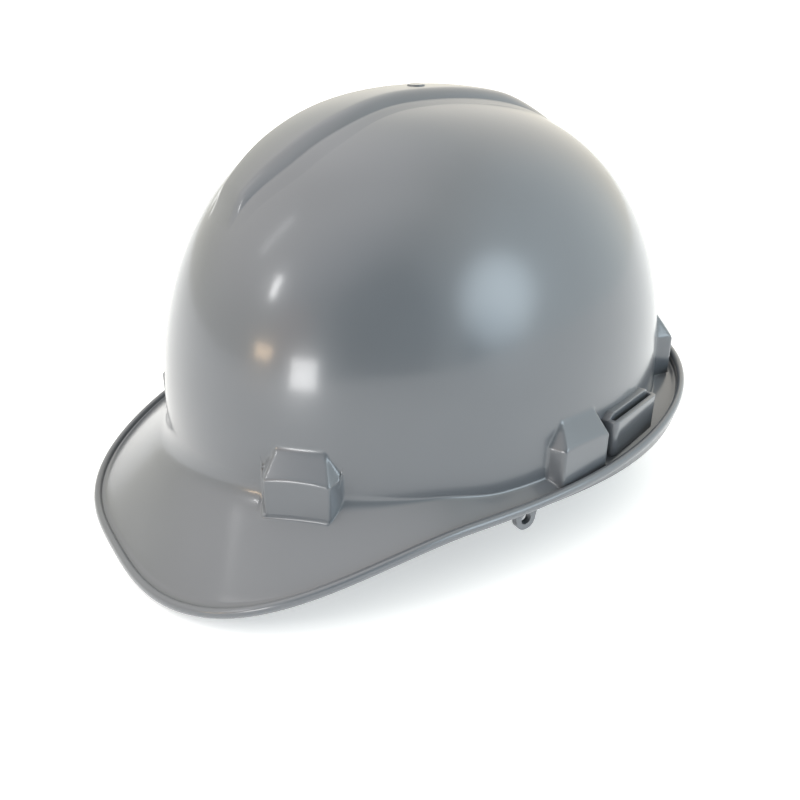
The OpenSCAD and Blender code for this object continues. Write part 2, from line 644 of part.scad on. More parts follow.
// The pad softens the inner cover: flat behind, crowned towards the head.
nape_pad_t = 5;
nape_pad_in = 10;
nape_pad_edge = 0.6;
nape_pad_under = 1.5;
function pillow(u, v) = pow(max(0, 1 - pow(abs(u), 4)), 0.5) * pow(max(0, 1 - pow(abs(v), 4)), 0.5);
module nape_pad() {
    w = inner_half - nape_pad_in;
    h = nape_h / 2 - nape_pad_under;
    n = 16;
    m = 8;
    us = [for (i = [0:n]) sin(90 * (2 * i / n - 1))];
    vs = [for (j = [0:m]) sin(90 * (2 * j / m - 1))];
    crown = nape_pad_t - nape_pad_edge;
    top = [for (u = us, v = vs) [u * w, inner_y - nape_pad_edge - crown * pillow(u, v), nape_z + v * h]];
    back = [for (u = us, v = vs) [u * w, inner_y - gap / 2, nape_z + v * h]];
    k = m + 1;
    t = (n + 1) * k;
    skin = [for (i = [0:n - 1], j = [0:m - 1]) let(a = i * k + j) each
        [[a, a + 1, a + k + 1], [a, a + k + 1, a + k],
         [t + a, t + a + k + 1, t + a + 1], [t + a, t + a + k, t + a + k + 1]]];
    rim = concat(
        [for (i = [0:n - 1]) each let(a = i * k, b = i * k + m)
            [[a, a + k, t + a + k], [a, t + a + k, t + a], [b, t + b + k, b + k], [b, t + b, t + b + k]]],
        [for (j = [0:m - 1]) each let(a = j, b = n * k + j)
            [[a, t + a + 1, a + 1], [a, t + a, t + a + 1], [b, b + 1, t + b + 1], [b, t + b + 1, t + b]]]);
    color([0.18, 0.18, 0.19]) place() polyhedron(concat(top, back), concat(skin, rim), convexity = 4);
}

knob_top = knob_y + knob_d;
module pinion() {
    color([0.85, 0.85, 0.83]) place() in_nape(0) {
        translate([0, 0, gear_y0]) linear_extrude(gear_y1 - gear_y0) gear_2d();
        translate([0, 0, inner_y + cover_t - 1.2]) cylinder(r = journal_r, h = 2, $fn = 48);
        difference() {
            translate([0, 0, gear_y1 - 0.01]) cylinder(r = shaft_r, h = knob_top - 4.7 - gear_y1, $fn = 48);
            translate([0, 0, knob_top - 12]) cylinder(r = 1.1, h = 20, $fn = 24);
        }
    }
}

// Two springy arms click past the ring's teeth and hold the dial.
module click_spring() {
    h = ring_d - 2 * gap;
    tip = click_r - 1.15;
    arm = [for (i = [0:8]) let(a = 150 - 16 * i, r = 4.2 + (tip - 4.9) * pow(i / 8, 0.8)) [r, a]];
    color([0.85, 0.85, 0.83]) place() in_nape(ring_y + gap) difference() {
        union() {
            cylinder(r = shaft_r + 2, h = h, $fn = 48);
            for (s = [0, 180]) rotate(s) linear_extrude(h) polygon(concat(
                [for (p = arm) (p[0] + 0.7) * [cos(p[1]), sin(p[1])]],
                [for (i = [8:-1:0]) (arm[i][0] - 0.6) * [cos(arm[i][1]), sin(arm[i][1])]]));
        }
        translate([0, 0, -1]) cylinder(r = shaft_r + 0.05, h = h + 2, $fn = 48);
    }
}

module adjust_knob() {
    lobes = 10;
    color([0.14, 0.14, 0.15]) place() in_nape(0) difference() {
        union() {
            translate([0, 0, knob_y]) cylinder(r = knob_r, h = knob_d - 1.6, $fn = 64);
            translate([0, 0, knob_top - 1.6]) cylinder(r1 = knob_r, r2 = knob_r - 1.6, h = 1.6, $fn = 64);
        }
        for (i = [0:lobes - 1]) rotate(i * 360 / lobes)
            translate([knob_r + 3, 0, knob_y - 1]) cylinder(r = 4.2, h = knob_d + 5, $fn = 24);
        difference() {
            translate([0, 0, knob_y - 1]) cylinder(r = click_r + 2.2 + gap, h = knob_d - 2, $fn = 64);
            translate([0, 0, knob_y + ring_d]) cylinder(r = shaft_r + 2.4, h = knob_d, $fn = 48);
        }
        translate([0, 0, knob_y - 1]) cylinder(r = shaft_r + 0.05, h = knob_d - 3.4, $fn = 48);
        translate([0, 0, knob_y]) cylinder(r = 1.3, h = knob_d + 5, $fn = 24);
        translate([0, 0, knob_top - 1.8]) cylinder(r = 3.3, h = 5, $fn = 48);
    }
}

module knob_screw() {
    color([0.7, 0.7, 0.72]) place() in_nape(0) difference() {
        union() {
            translate([0, 0, knob_top - 1.7]) cylinder(r = 2.9, h = 1.3, $fn = 48);
            translate([0, 0, knob_top - 11]) cylinder(r = 1.05, h = 9.6, $fn = 24);
        }
        for (a = [0, 90]) rotate(a) translate([-2, -0.3, knob_top - 1]) cube([4, 0.6, 2]);
    }
}

shell();
chin_strap_lugs();
key(front_at, true);  // key_front_left
key(-180 - front_at, true);  // key_front_right
key(side_at, true);  // key_side_left
key(180 - side_at, true);  // key_side_right
key(rear_at, false);  // key_rear_left
key(180 - rear_at, false);  // key_rear_right
crown_strap(side_at, 180 - side_at, 0);  // crown_strap_side
crown_strap(front_at, 180 - rear_at, 1);  // crown_strap_left
crown_strap(-180 - front_at, rear_at, 2);  // crown_strap_right
crown_pad();
front_band();
band_studs();
sweatband();
side_band(1);  // side_band_left
side_band(-1);  // side_band_right
rack(1);  // rack_left
rack(-1);  // rack_right
nape_cover_outer();
nape_cover_inner();
nape_pad();
nape_screws();
pinion();
click_spring();
adjust_knob();
knob_screw();
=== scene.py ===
import bpy
import numpy as np
from mathutils import Matrix


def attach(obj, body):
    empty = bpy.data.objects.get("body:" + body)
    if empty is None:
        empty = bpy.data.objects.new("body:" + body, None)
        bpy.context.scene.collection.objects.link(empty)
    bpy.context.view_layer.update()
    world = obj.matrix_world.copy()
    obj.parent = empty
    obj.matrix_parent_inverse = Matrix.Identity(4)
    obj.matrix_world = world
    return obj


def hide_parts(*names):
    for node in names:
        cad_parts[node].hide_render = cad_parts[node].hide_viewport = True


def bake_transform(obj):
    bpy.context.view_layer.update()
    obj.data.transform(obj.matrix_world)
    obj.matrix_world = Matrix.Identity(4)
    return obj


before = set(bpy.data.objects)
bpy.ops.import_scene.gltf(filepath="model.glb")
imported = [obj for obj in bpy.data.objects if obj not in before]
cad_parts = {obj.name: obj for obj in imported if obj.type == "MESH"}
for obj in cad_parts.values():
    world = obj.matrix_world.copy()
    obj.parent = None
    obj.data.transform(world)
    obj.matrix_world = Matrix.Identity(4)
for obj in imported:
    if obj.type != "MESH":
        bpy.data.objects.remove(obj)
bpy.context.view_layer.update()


# The camera looks down at the helmet from the wearer's front left.
# Its place was fitted to the shell's outline. The origin is on the floor, under the shell's middle.
DEG = np.pi / 180
MM = 0.001
camera_spot = np.array([328.5, -212.75, 229.0]) * MM
camera_azimuth, camera_elevation = 57.15, 26.23
camera_roll = 0.33 * DEG
camera_lens = 38.38


def unit(v):
    """v divided by its length, along the last axis."""
    return v / np.linalg.norm(v, axis=-1, keepdims=True)


def way(azimuth, elevation):
    """The direction at two angles in degrees: round from the visor's side to the wearer's left, and up."""
    az, el = azimuth * DEG, elevation * DEG
    return np.array([np.sin(az) * np.cos(el), -np.cos(az) * np.cos(el), np.sin(el)])


def turned(back, roll):
    """Axes of a camera or lamp that looks along minus back: level first, then turned by roll."""
    right = unit(np.cross([0.0, 0.0, 1.0], back))
    up = np.cross(back, right)
    return np.cos(roll) * right + np.sin(roll) * up, np.cos(roll) * up - np.sin(roll) * right


def stand_at(obj, spot, back, roll=0.0):
    """Puts a camera or lamp at spot, looking along minus back."""
    right, up = turned(unit(np.asarray(back, float)), roll)
    axes = np.stack([right, up, unit(np.asarray(back, float)), np.asarray(spot, float)], axis=1)
    obj.matrix_world = Matrix([list(row) for row in axes] + [[0, 0, 0, 1]])


def new_object(name, data):
    """Puts a mesh, a lamp or a camera into the scene, at the origin."""
    obj = bpy.data.objects.new(name, data)
    bpy.context.scene.collection.objects.link(obj)
    return obj


camera_data = bpy.data.cameras.new("camera")
camera_data.sensor_width = 36
camera_data.lens = camera_lens
camera_data.clip_start = 0.01
camera = new_object("camera", camera_data)
stand_at(camera, camera_spot, way(camera_azimuth, camera_elevation), camera_roll)
bpy.context.scene.camera = camera
bpy.context.scene.view_settings.view_transform = "Standard"


# Four rectangular lamps give the shell its strong highlights. They stand a little over a metre away.
# The broad one lies level with the brow, a warm one stands under the tall one, and a faint one is high up.
lamp_away = 1.25
lamp_aim = np.array([0.05, -0.08, 0.1])
white = (1.0, 1.0, 1.0)


def soft_lamp(name, azimuth, elevation, size, watts, tint):
    """A rectangular lamp that faces the helmet from a direction, given as for way."""
    back = way(azimuth, elevation)
    data = bpy.data.lights.new(name, "AREA")
    data.shape = "RECTANGLE"
    data.size, data.size_y = size
    data.energy = watts
    data.color = tint
    lamp = new_object(name, data)
    lamp.visible_camera = False
    stand_at(lamp, lamp_aim + lamp_away * back, back)


soft_lamp("broad_window", 28.8, 0.3, (0.3, 0.22), 3.0, white)
soft_lamp("tall_window", 2, 28, (0.08, 0.19), 1.1, white)
soft_lamp("warm_lamp", 5, 5, (0.24, 0.09), 0.95, (1.0, 0.72, 0.45))
soft_lamp("narrow_window", -20, 44, (0.1, 0.4), 0.3, white)


# The room is an even pale light all round: darker where the camera stands, brighter overhead and behind,
# with one bright window. The camera itself sees plain white behind the helmet.
world = bpy.data.worlds.new("white_room")
bpy.context.scene.world = world
world.use_nodes = True
world_tree = world.node_tree
room = world_tree.nodes["Background"]
room.inputs["Strength"].default_value = 1.0
ways = world_tree.nodes.new("ShaderNodeTexCoord")
wall_colour = (1.02, 1.0, 0.88)


def room_patch(before, azimuth, elevation, inner, outer, change):
    """Adds change to the room's colour: all of it within inner degrees of a direction, none past outer."""
    near = world_tree.nodes.new("ShaderNodeVectorMath")
    near.operation = "DOT_PRODUCT"
    near.inputs[1].default_value = way(azimuth, elevation)
    world_tree.links.new(ways.outputs["Generated"], near.inputs[0])
    share = world_tree.nodes.new("ShaderNodeMapRange")
    share.interpolation_type = "SMOOTHSTEP"
    share.inputs["From Min"].default_value = np.cos(outer * DEG)
    share.inputs["From Max"].default_value = np.cos(inner * DEG)
    world_tree.links.new(near.outputs["Value"], share.inputs["Value"])
    added = world_tree.nodes.new("ShaderNodeVectorMath")
    added.operation = "MULTIPLY_ADD"
    added.inputs[1].default_value = change
    world_tree.links.new(share.outputs["Result"], added.inputs[0])
    world_tree.links.new(before, added.inputs[2])
    return added.outputs["Vector"]


# Each row: azimuth, elevation, the degrees where the change is whole and where it ends, and the change.
walls = world_tree.nodes.new("ShaderNodeRGB")
walls.outputs["Color"].default_value = (*wall_colour, 1)
shade = walls.outputs["Color"]
for patch in ((57, 10, 15, 65, (-0.62, -0.54, -0.42)),
              (65, 17, 14, 30, (-0.4, -0.4, -0.4)),
              (108, 2, 7, 15, (-0.8, -0.8, -0.75)),
              (20, 12, 4, 16, (0.4, 0.16, 0.06)),
              (114, 17, 2, 20, (3.6, 4.3, 4.8)),
              (114, 17, 14, 40, (0.14, 0.2, 0.24)),
              (-20, 60, 20, 60, (0.83, 0.78, 0.83)),
              (-150, 15, 10, 50, (0.3, 0.25, 0.2)),
              (-130, 50, 10, 50, (0.3, 0.3, 0.32)),
              (150, 18, 10, 50, (0.36, 0.52, 0.65))):
    shade = room_patch(shade, *patch)
behind = world_tree.nodes.new("ShaderNodeMixRGB")
behind.inputs["Color2"].default_value = (*white, 1)
sight = world_tree.nodes.new("ShaderNodeLightPath")
world_tree.links.new(sight.outputs["Is Camera Ray"], behind.inputs["Fac"])
world_tree.links.new(shade, behind.inputs["Color1"])
world_tree.links.new(behind.outputs["Color"], room.inputs["Color"])


# The sheet under the helmet is matt white paper, wide enough to fill the picture.
# Seen by the camera, or in a mirroring surface, it is a little brighter than the light on it makes it.
def mesh_object(name, verts, faces, uv=None):
    """A smooth-shaded mesh from arrays: verts in metres, faces as rows of vertex numbers, uv per vertex."""
    verts = np.ascontiguousarray(verts, dtype=np.float32).reshape(-1, 3)
    mesh = bpy.data.meshes.new(name)
    groups = [np.asarray(f, dtype=np.int32) for f in (faces if isinstance(faces, list) else [faces])]
    loops = np.concatenate([g.ravel() for g in groups])
    sizes = np.concatenate([np.full(len(g), g.shape[1], dtype=np.int32) for g in groups])
    starts = np.concatenate([[0], np.cumsum(sizes)[:-1]]).astype(np.int32)
    mesh.vertices.add(len(verts))
    mesh.vertices.foreach_set("co", verts.ravel())
    mesh.loops.add(len(loops))
    mesh.loops.foreach_set("vertex_index", loops)
    mesh.polygons.add(len(sizes))
    mesh.polygons.foreach_set("loop_start", starts)
    mesh.polygons.foreach_set("loop_total", sizes)
    mesh.polygons.foreach_set("use_smooth", np.full(len(sizes), True))
    if uv is not None:
        layer = mesh.uv_layers.new(name="surface")
        layer.data.foreach_set("uv", np.asarray(uv, dtype=np.float32).reshape(-1, 2)[loops].ravel())
    mesh.update(calc_edges=True)
    mesh.validate()
    return new_object(name, mesh)


def new_material(name):
    """A node material with its Principled shader and the part's own coordinates."""
    mat = bpy.data.materials.new(name)
    mat.use_nodes = True
    tree = mat.node_tree
    place = tree.nodes.new("ShaderNodeTexCoord")
    return mat, tree, tree.nodes["Principled BSDF"], place.outputs["Object"]


floor_half = 30.0
floor_corners = floor_half * np.array([[-1, -1, 0], [1, -1, 0], [1, 1, 0], [-1, 1, 0]])
floor = mesh_object("floor", floor_corners, np.array([[0, 1, 2, 3]]))
floor_mat, tree, shader, _ = new_material("white_sheet")
shader.inputs["Base Color"].default_value = (0.86, 0.87, 0.88, 1)
shader.inputs["Roughness"].default_value = 0.9
paper = tree.nodes.new("ShaderNodeEmission")
paper.inputs["Strength"].default_value = 0.42
paths = tree.nodes.new("ShaderNodeLightPath")
seen = paths.outputs["Is Camera Ray"]
for kind in ("Is Glossy Ray", "Is Transmission Ray"):
    both = tree.nodes.new("ShaderNodeMath")
    tree.links.new(seen, both.inputs[0])
    tree.links.new(paths.outputs[kind], both.inputs[1])
    seen = both.outputs["Value"]
glow = tree.nodes.new("ShaderNodeAddShader")
pick = tree.nodes.new("ShaderNodeMixShader")
tree.links.new(shader.outputs["BSDF"], glow.inputs[0])
tree.links.new(paper.outputs["Emission"], glow.inputs[1])
tree.links.new(seen, pick.inputs["Fac"])
tree.links.new(shader.outputs["BSDF"], pick.inputs[1])
tree.links.new(glow.outputs["Shader"], pick.inputs[2])
tree.links.new(pick.outputs["Shader"], tree.nodes["Material Output"].inputs["Surface"])
floor.data.materials.append(floor_mat)


# The shell is one moulding of grey polyethylene: a dome with a ridge, six hipped key pockets,
# a visor and a brim with a rolled lip. Its plan and its side view are superellipses.
shift_y, stand_h = 6.75, 41.2
dome_w, dome_front, dome_rear, dome_h = 200.0, 123.0, 136.0, 142.0
dome_plan, dome_side = 2.05, 2.32
brim_w, visor_reach, brim_rear = 222.0, 158.5, 145.0
visor_square, rear_square = 2.86, 2.33
side_drop, visor_drop, rear_rise = 6.5, 31.5, 19.5
foot_dip, foot_rise, climb, turn_y = 3.4, 11.5, 1.65, -20.0
dip_from, dip_run = -50.0, 30.0
visor_flat, visor_bend = 0.15, 0.45
wall, lip_w, lip_under = 2.4, 3.6, 3.2
gutter, gutter_least, gutter_run = 4.2, 0.3, 100.0
boss_out, boss_root, boss_face, boss_top, boss_h, boss_face_h = 6.6, 34.0, 27.0, 20.0, 22.5, 11.5
boss_steep, boss_span, boss_margin = 0.9, 15.0, 6.0
front_at, side_at, rear_at, slot_at = -56.0, 11.0, 68.0, 31.0
rear_lift, lift_from, lift_run = 14.0, 50.0, 50.0
boss_at = [-180 - front_at, front_at, side_at, rear_at, 180 - rear_at, 180 - side_at]


def in_part(points):
    """Points in millimetres from the dome's foot plane, moved into the part's frame in metres."""
    return (np.asarray(points, float) + [0.0, shift_y, stand_h]) * MM


def smooth(t):
    """The smooth step 3t^2 - 2t^3, with t kept from 0 to 1."""
    t = np.clip(t, 0, 1)
    return t * t * (3 - 2 * t)


def soft_min(a, b, k):
    """The smaller of a and b, with their crossing rounded over a width k."""
    h = np.clip(0.5 + 0.5 * (b - a) / k, 0, 1)
    return b + (a - b) * h - k * h * (1 - h)


def polar(a, w, front, rear, nf, nr):
    """Radius of a superellipse at angle a: (|cos a|/w)^n + (|sin a|/length)^n to the power -1/n."""
    n = np.where(np.sin(a) < 0, nf, nr)
    b = np.where(np.sin(a) < 0, front, rear)
    return (np.abs(np.cos(a) / w) ** n + np.abs(np.sin(a) / b) ** n) ** (-1 / n)


def foot_r(a, off=0.0):
    """The dome's plan radius at its foot, drawn in by off."""
    return polar(a, dome_w / 2 - off, dome_front - off, dome_rear - off, dome_plan, dome_plan)


def rim_r(a):
    """The brim's plan radius at its edge."""
    return polar(a, brim_w / 2, visor_reach, brim_rear, visor_square, rear_square)


def shrink(z, off=0.0):
    """How much of its foot radius the dome keeps at height z: (1 - (z / h)^n)^(1 / n)."""
    share = np.clip(z / (dome_h - off), 0, 1)
    return np.clip(1 - share ** dome_side, 0, 1) ** (1 / dome_side)


def dome_pt(a, z, off=0.0):
    """A point of the dome at angle a and height z, drawn in by off."""
    r = foot_r(a, off) * shrink(z, off)
    return np.stack([r * np.cos(a), r * np.sin(a)], axis=-1)


def rear_t(y):
    """How far y lies behind the temples: 0 up to turn_y, and 1 at the back of the brim."""
    return np.clip((y - turn_y) / (brim_rear - turn_y), 0, 1)


def foot_z(a):
    """Height of the dome's foot: level over the visor, a dip at the sides and a climb to the rear."""
    y = foot_r(a) * np.sin(a)
    return -foot_dip * smooth((y - dip_from) / dip_run) + foot_rise * rear_t(y) ** climb


def rim_z(a):
    """Height of the rim: a visor that dips by a part smooth step, part square, and a climb to the rear."""
    y = rim_r(a) * np.sin(a)
    f = np.clip(((turn_y - y) / (visor_reach + turn_y) - visor_flat) / (1 - visor_flat), 0, 1)
    dip = visor_bend * smooth(f) + (1 - visor_bend) * f * f
    return -side_drop - visor_drop * dip + rear_rise * rear_t(y) ** climb


def gutter_d(a):
    """Depth of the gutter inside the lip, which starts behind the visor."""
    return gutter_least + gutter * smooth((rim_r(a) * np.sin(a) - turn_y) / gutter_run)


def foot_frame(b):
    """Middle, outward direction and sideways direction of the dome's foot at b degrees."""
    near = dome_pt(np.array([b - 0.1, b, b + 0.1]) * DEG, np.zeros(3))
    along = unit(near[2] - near[0])
    return near[1], np.array([along[1], -along[0]]), along


def boss_lift(a):
    """How much higher the key pockets stand at angle a: nothing up to the sides, rear_lift at the rear."""
    return rear_lift * smooth((foot_r(a) * np.sin(a) - lift_from) / lift_run)


def boss_reach(b, p, z, edge):
    """How far a key pocket stands off the dome: the least of its front, side, top and hip planes."""
    middle, out, along = foot_frame(b)
    u = np.abs((p - middle) @ along)
    v = (p - middle) @ out
    full, dz, half = boss_out + boss_steep, boss_h - boss_face_h, boss_root / 2
    up = z - boss_face_h - boss_lift(np.array(b * DEG))
    side = full * (half - u) / (half - boss_face / 2)
    top = full * (dz - up) / dz
    hip = full * ((half - u) * dz - up * (half - boss_top / 2)) / ((half - boss_face / 2) * dz)
    reach = soft_min(soft_min(soft_min(boss_out - v, side, edge), hip, edge), top, edge)
    return -soft_min(-reach, np.zeros_like(reach), edge)


def with_boss(a, z, off=0.0, edge=1.0):
    """The dome's plan point with the key pockets pushed out, their edges rounded over a width edge."""
    p = dome_pt(a, z, off)
    outer = dome_pt(a, z * dome_h / (dome_h - off))
    moved = p.copy()
    for b in boss_at:
        near = np.abs((a / DEG - b + 180) % 360 - 180) < boss_span
        low = z < boss_h + rear_lift + boss_margin
        lift = np.where(near & low, boss_reach(b, outer, z, edge), 0)
        moved = moved + lift[..., None] * foot_frame(b)[1]
    return moved


def columns():
    """Angles round the dome: close steps where a key pocket's edges run, wider ones between."""
    edge_from, edge_to, edge_step, face_step, reach_share = 8.4, 20.4, 0.6, 1.6, 1.02
    steps = [np.arange(edge_from, edge_to, edge_step), np.arange(0, edge_from, face_step)]
    fine = np.unique(np.round(np.concatenate(steps), 3))
    local = np.unique(np.concatenate([-fine, fine]))
    spans = [b + local / foot_r(np.array(b * DEG)) / DEG * reach_share for b in boss_at]
    out = []
    for i, here in enumerate(spans):
        after = spans[(i + 1) % len(spans)][0] + (360 if i == len(spans) - 1 else 0)
        step = 0.8 if boss_at[i] in (side_at, 180 - rear_at) else 1.5
        count = max(2, int(round((after - here[-1]) / step)))
        out += [here, here[-1] + (after - here[-1]) * np.arange(1, count) / count]
    return np.concatenate(out) * DEG


def grid_faces(n, m, wrap):
    """Quads of an n by m grid of vertices, closed round its first direction if wrap is true."""
    i, j = np.meshgrid(np.arange(n if wrap else n - 1), np.arange(m - 1), indexing="ij")
    k = (i + 1) % n
    return np.stack([i * m + j, i * m + j + 1, k * m + j + 1, k * m + j], axis=-1).reshape(-1, 4)


# The shell's skin is one closed grid. Its rows run down the outside, over the lip and back up the inside,
# close together over the key pockets and wider on the smooth dome.
lowest_row, least_step = 6.0, 1.5
level_spans = ((lowest_row + 0.65, 29, 0.68), (30, 43, 1.2), (45, 60, 3.2))
width_spans = ((0.955, 0.7, -0.012), (0.7, 0.02, -0.0155))
inner_span, inner_low, inner_skip = (11, 25, 1.4), 10.0, 4
fillet_least, fillet_more, fillet_from, fillet_run = 1.2, 5.6, -45.0, 60.0
wall_start, floor_share = 0.96, 0.45
lip_crown, lip_high, lip_drop, lip_least = 1.9, 2.3, 0.5, 2.0
lip_start, lip_hem, hem_in = ((0.1, 0.25), (0.4, 0.75)), ((1.6, 0.5), (2.3, 0.6)), 0.4
inner_edge, outer_edge = 1.2, 0.7


def row_heights():
    """Heights of the dome's rows: close over the key pockets, wider above, then by even steps of width."""
    level = np.concatenate([np.arange(*span) for span in level_spans])
    width = np.concatenate([np.arange(*span) for span in width_spans])
    cap = dome_h * (1 - width ** dome_side) ** (1 / dome_side)
    return np.concatenate([level, cap[cap > level[-1] + least_step]])


def up_wall(a, z, off, edge):
    """Points of the dome's wall at heights z, one row for each, drawn in by off."""
    aa, zz = np.broadcast_arrays(a[None, :], z)
    height = zz * (dome_h - off) / dome_h
    return np.concatenate([with_boss(aa, height, off, edge), height[..., None]], axis=-1)


def at_r(a, r, z):
    """Points at angles a, plan radius r and height z."""
    r, z, aa = np.broadcast_arrays(r, z, a)
    return np.stack([r * np.cos(aa), r * np.sin(aa), z], axis=-1)


def curved(start, corner, end, t):
    """A quadratic Bezier curve: (1 - t)^2 start + 2t(1 - t) corner + t^2 end."""
    return (1 - t) ** 2 * start + 2 * t * (1 - t) * corner + t * t * end


def straight(start, end, shares):
    """Rows of points at shares of the way from start to end."""
    return [start + (end - start) * t for t in shares]


def fillet_size(a, rd):
    """Radius between dome and brim: fillet_least, and more over the visor where no key pocket stands."""
    over_visor = smooth((fillet_from - rd * np.sin(a)) / fillet_run)
    return fillet_least + fillet_more * over_visor * (1 - smooth((rd - foot_r(a)) / 2))


def lip_rows(a, re, ze, under):
    """Rows of the rolled lip from the brim's floor, at radius re and height ze, round to its underside."""
    mid_r, mid_z = rim_r(a) - lip_crown, rim_z(a) - lip_drop
    turn = np.linspace(195, -75, 17) * DEG
    start = [at_r(a, re + out, ze + up) for out, up in lip_start]
    bead = [at_r(a, mid_r + lip_crown * np.cos(t), mid_z + lip_high * np.sin(t)) for t in turn]
    hem = [at_r(a, rim_r(a) - back, under - down) for back, down in lip_hem]
    return start + bead + hem


def shell_rings(a):
    """Every column's profile: crown, dome, fillet, brim floor, rolled lip, underside, inner wall, crown."""
    upper = row_heights()
    ze = rim_z(a) - gutter_d(a)
    re = rim_r(a) - lip_w
    rd = np.linalg.norm(with_boss(a, np.zeros_like(a)), axis=-1)
    z0 = foot_z(a) + (ze - foot_z(a)) / (re - foot_r(a)) * (rd - foot_r(a))
    fillet_r = fillet_size(a, rd)
    base = z0 + wall_start * fillet_r
    heights = base + (upper[:, None] - lowest_row) * (dome_h - base) / (dome_h - lowest_row)
    outer = up_wall(a, heights, 0.0, outer_edge)

    corner, floor_end = at_r(a, rd, z0), at_r(a, re, ze)
    wall_side = corner + unit(outer[0] - corner) * fillet_r[:, None]
    reach = np.minimum(fillet_r, floor_share * np.linalg.norm(floor_end - corner, axis=-1))
    floor_side = corner + unit(floor_end - corner) * reach[:, None]
    fillet = np.stack([curved(wall_side, corner, floor_side, t) for t in np.linspace(0, 1, 7)])

    floor_rows = np.stack(straight(floor_side, floor_end, np.linspace(0, 1, 12)[1:-1]))
    under = np.minimum(rim_z(a) - lip_under + lip_hem[1][1], ze - lip_least)
    under_out, under_in = at_r(a, re - hem_in, ze - wall), at_r(a, rd - wall, z0 - wall)
    brim = np.stack(lip_rows(a, re, ze, under) + straight(under_out, under_in, np.linspace(0, 1, 7)))

    low_z = np.linspace(0, 1, 7)[1:, None] * inner_low + 0 * a[None, :]
    high_z = np.concatenate([np.arange(*inner_span), upper[upper > inner_span[1]][::inner_skip]])
    inner_z = np.concatenate([low_z, np.repeat(high_z[:, None], len(a), 1)])
    return np.concatenate([outer[::-1], fillet, floor_rows, brim, up_wall(a, inner_z, wall, inner_edge)])


shell_a = columns()
shell_rows = shell_rings(shell_a)
row_count, column_count = shell_rows.shape[:2]
shell_points = in_part(shell_rows.transpose(1, 0, 2).reshape(-1, 3))
poles = in_part([[0, 0, dome_h], [0, 0, dome_h - wall]])
skin = grid_faces(column_count, row_count, True)
first = np.arange(column_count) * row_count
after = np.roll(first, -1)
pole = column_count * row_count
caps = np.concatenate([np.stack([np.full(column_count, pole), first, after], axis=1),
                       np.stack([np.full(column_count, pole + 1), after + row_count - 1,
                                 first + row_count - 1], axis=1)])
shell = mesh_object("shell_moulding", np.concatenate([shell_points, poles]), [skin, caps])
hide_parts("shell")
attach(shell, "helmet")


# The shell's plastic is a semi-gloss grey under a thin clear sheen.
# Its colour drifts a little, and its surface has the faint ripple of a large moulding.
def spread(tree, value, low, high, span=(0.3, 0.7)):
    """value, from span, spread evenly between low and high: numbers, or colours of three numbers."""
    if np.ndim(low) == 0:
        node = tree.nodes.new("ShaderNodeMapRange")
        for key, number in zip(("From Min", "From Max", "To Min", "To Max"), (*span, low, high)):
            node.inputs[key].default_value = number
        tree.links.new(value, node.inputs["Value"])
        return node.outputs["Result"]
    node = tree.nodes.new("ShaderNodeValToRGB")
    node.color_ramp.elements[0].position, node.color_ramp.elements[1].position = span
    node.color_ramp.elements[0].color = (*low, 1)
    node.color_ramp.elements[1].color = (*high, 1)
    tree.links.new(value, node.inputs["Fac"])
    return node.outputs["Color"]


def surface_grain():
    """A node group: noise of so many cells per metre, and the normal of a bump of its value times a depth."""
    group = bpy.data.node_groups.new("surface_grain", "ShaderNodeTree")
    group.interface.new_socket(name="Place", in_out="INPUT", socket_type="NodeSocketVector")
    for name in ("Cells", "Detail", "Roughness", "Depth", "Strength"):
        group.interface.new_socket(name=name, in_out="INPUT", socket_type="NodeSocketFloat")
    group.interface.new_socket(name="Value", in_out="OUTPUT", socket_type="NodeSocketFloat")
    group.interface.new_socket(name="Normal", in_out="OUTPUT", socket_type="NodeSocketVector")
    given = group.nodes.new("NodeGroupInput")
    put_out = group.nodes.new("NodeGroupOutput")
    cells = group.nodes.new("ShaderNodeTexNoise")
    bump = group.nodes.new("ShaderNodeBump")
    keys = {"Place": "Vector", "Cells": "Scale", "Detail": "Detail", "Roughness": "Roughness"}
    for name, key in keys.items():
        group.links.new(given.outputs[name], cells.inputs[key])
    group.links.new(given.outputs["Depth"], bump.inputs["Distance"])
    group.links.new(given.outputs["Strength"], bump.inputs["Strength"])
    group.links.new(cells.outputs["Fac"], bump.inputs["Height"])
    group.links.new(cells.outputs["Fac"], put_out.inputs["Value"])
    group.links.new(bump.outputs["Normal"], put_out.inputs["Normal"])
    return group


grain_group = surface_grain()


def grained(tree, place, cells, detail=3.0, rough=0.5, depth=0.0, strength=0.0):
    """Places the grain group in a material with its own values, and gives back the group's node."""
    node = tree.nodes.new("ShaderNodeGroup")
    node.node_tree = grain_group
    tree.links.new(place, node.inputs["Place"])
    for key, number in (("Cells", cells), ("Detail", detail), ("Roughness", rough), ("Depth", depth),
                        ("Strength", strength)):
        node.inputs[key].default_value = number
    return node


shell_grey = (0.112, 0.121, 0.135)
shell_mat, tree, shader, place = new_material("grey_polyethylene")
cloud = grained(tree, place, 14.0, 2.0)
shade = spread(tree, cloud.outputs["Value"], [c * 0.93 for c in shell_grey], [c * 1.05 for c in shell_grey])
tree.links.new(shade, shader.inputs["Base Color"])
shader.inputs["Roughness"].default_value = 0.28
shader.inputs["IOR"].default_value = 1.5
shader.inputs["Coat Weight"].default_value = 0.6
shader.inputs["Coat Roughness"].default_value = 0.13
shader.inputs["Coat IOR"].default_value = 1.5
ripple = grained(tree, place, 45.0, 1.0, 0.4, 0.00025, 0.3)
tree.links.new(ripple.outputs["Normal"], shader.inputs["Normal"])
shell.data.materials.append(shell_mat)


def moulded_on(piece):
    """Makes a piece part of the shell's moulding: it rides on the helmet in the shell's own plastic."""
    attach(piece, "helmet")
    piece.data.materials.append(shell_mat)


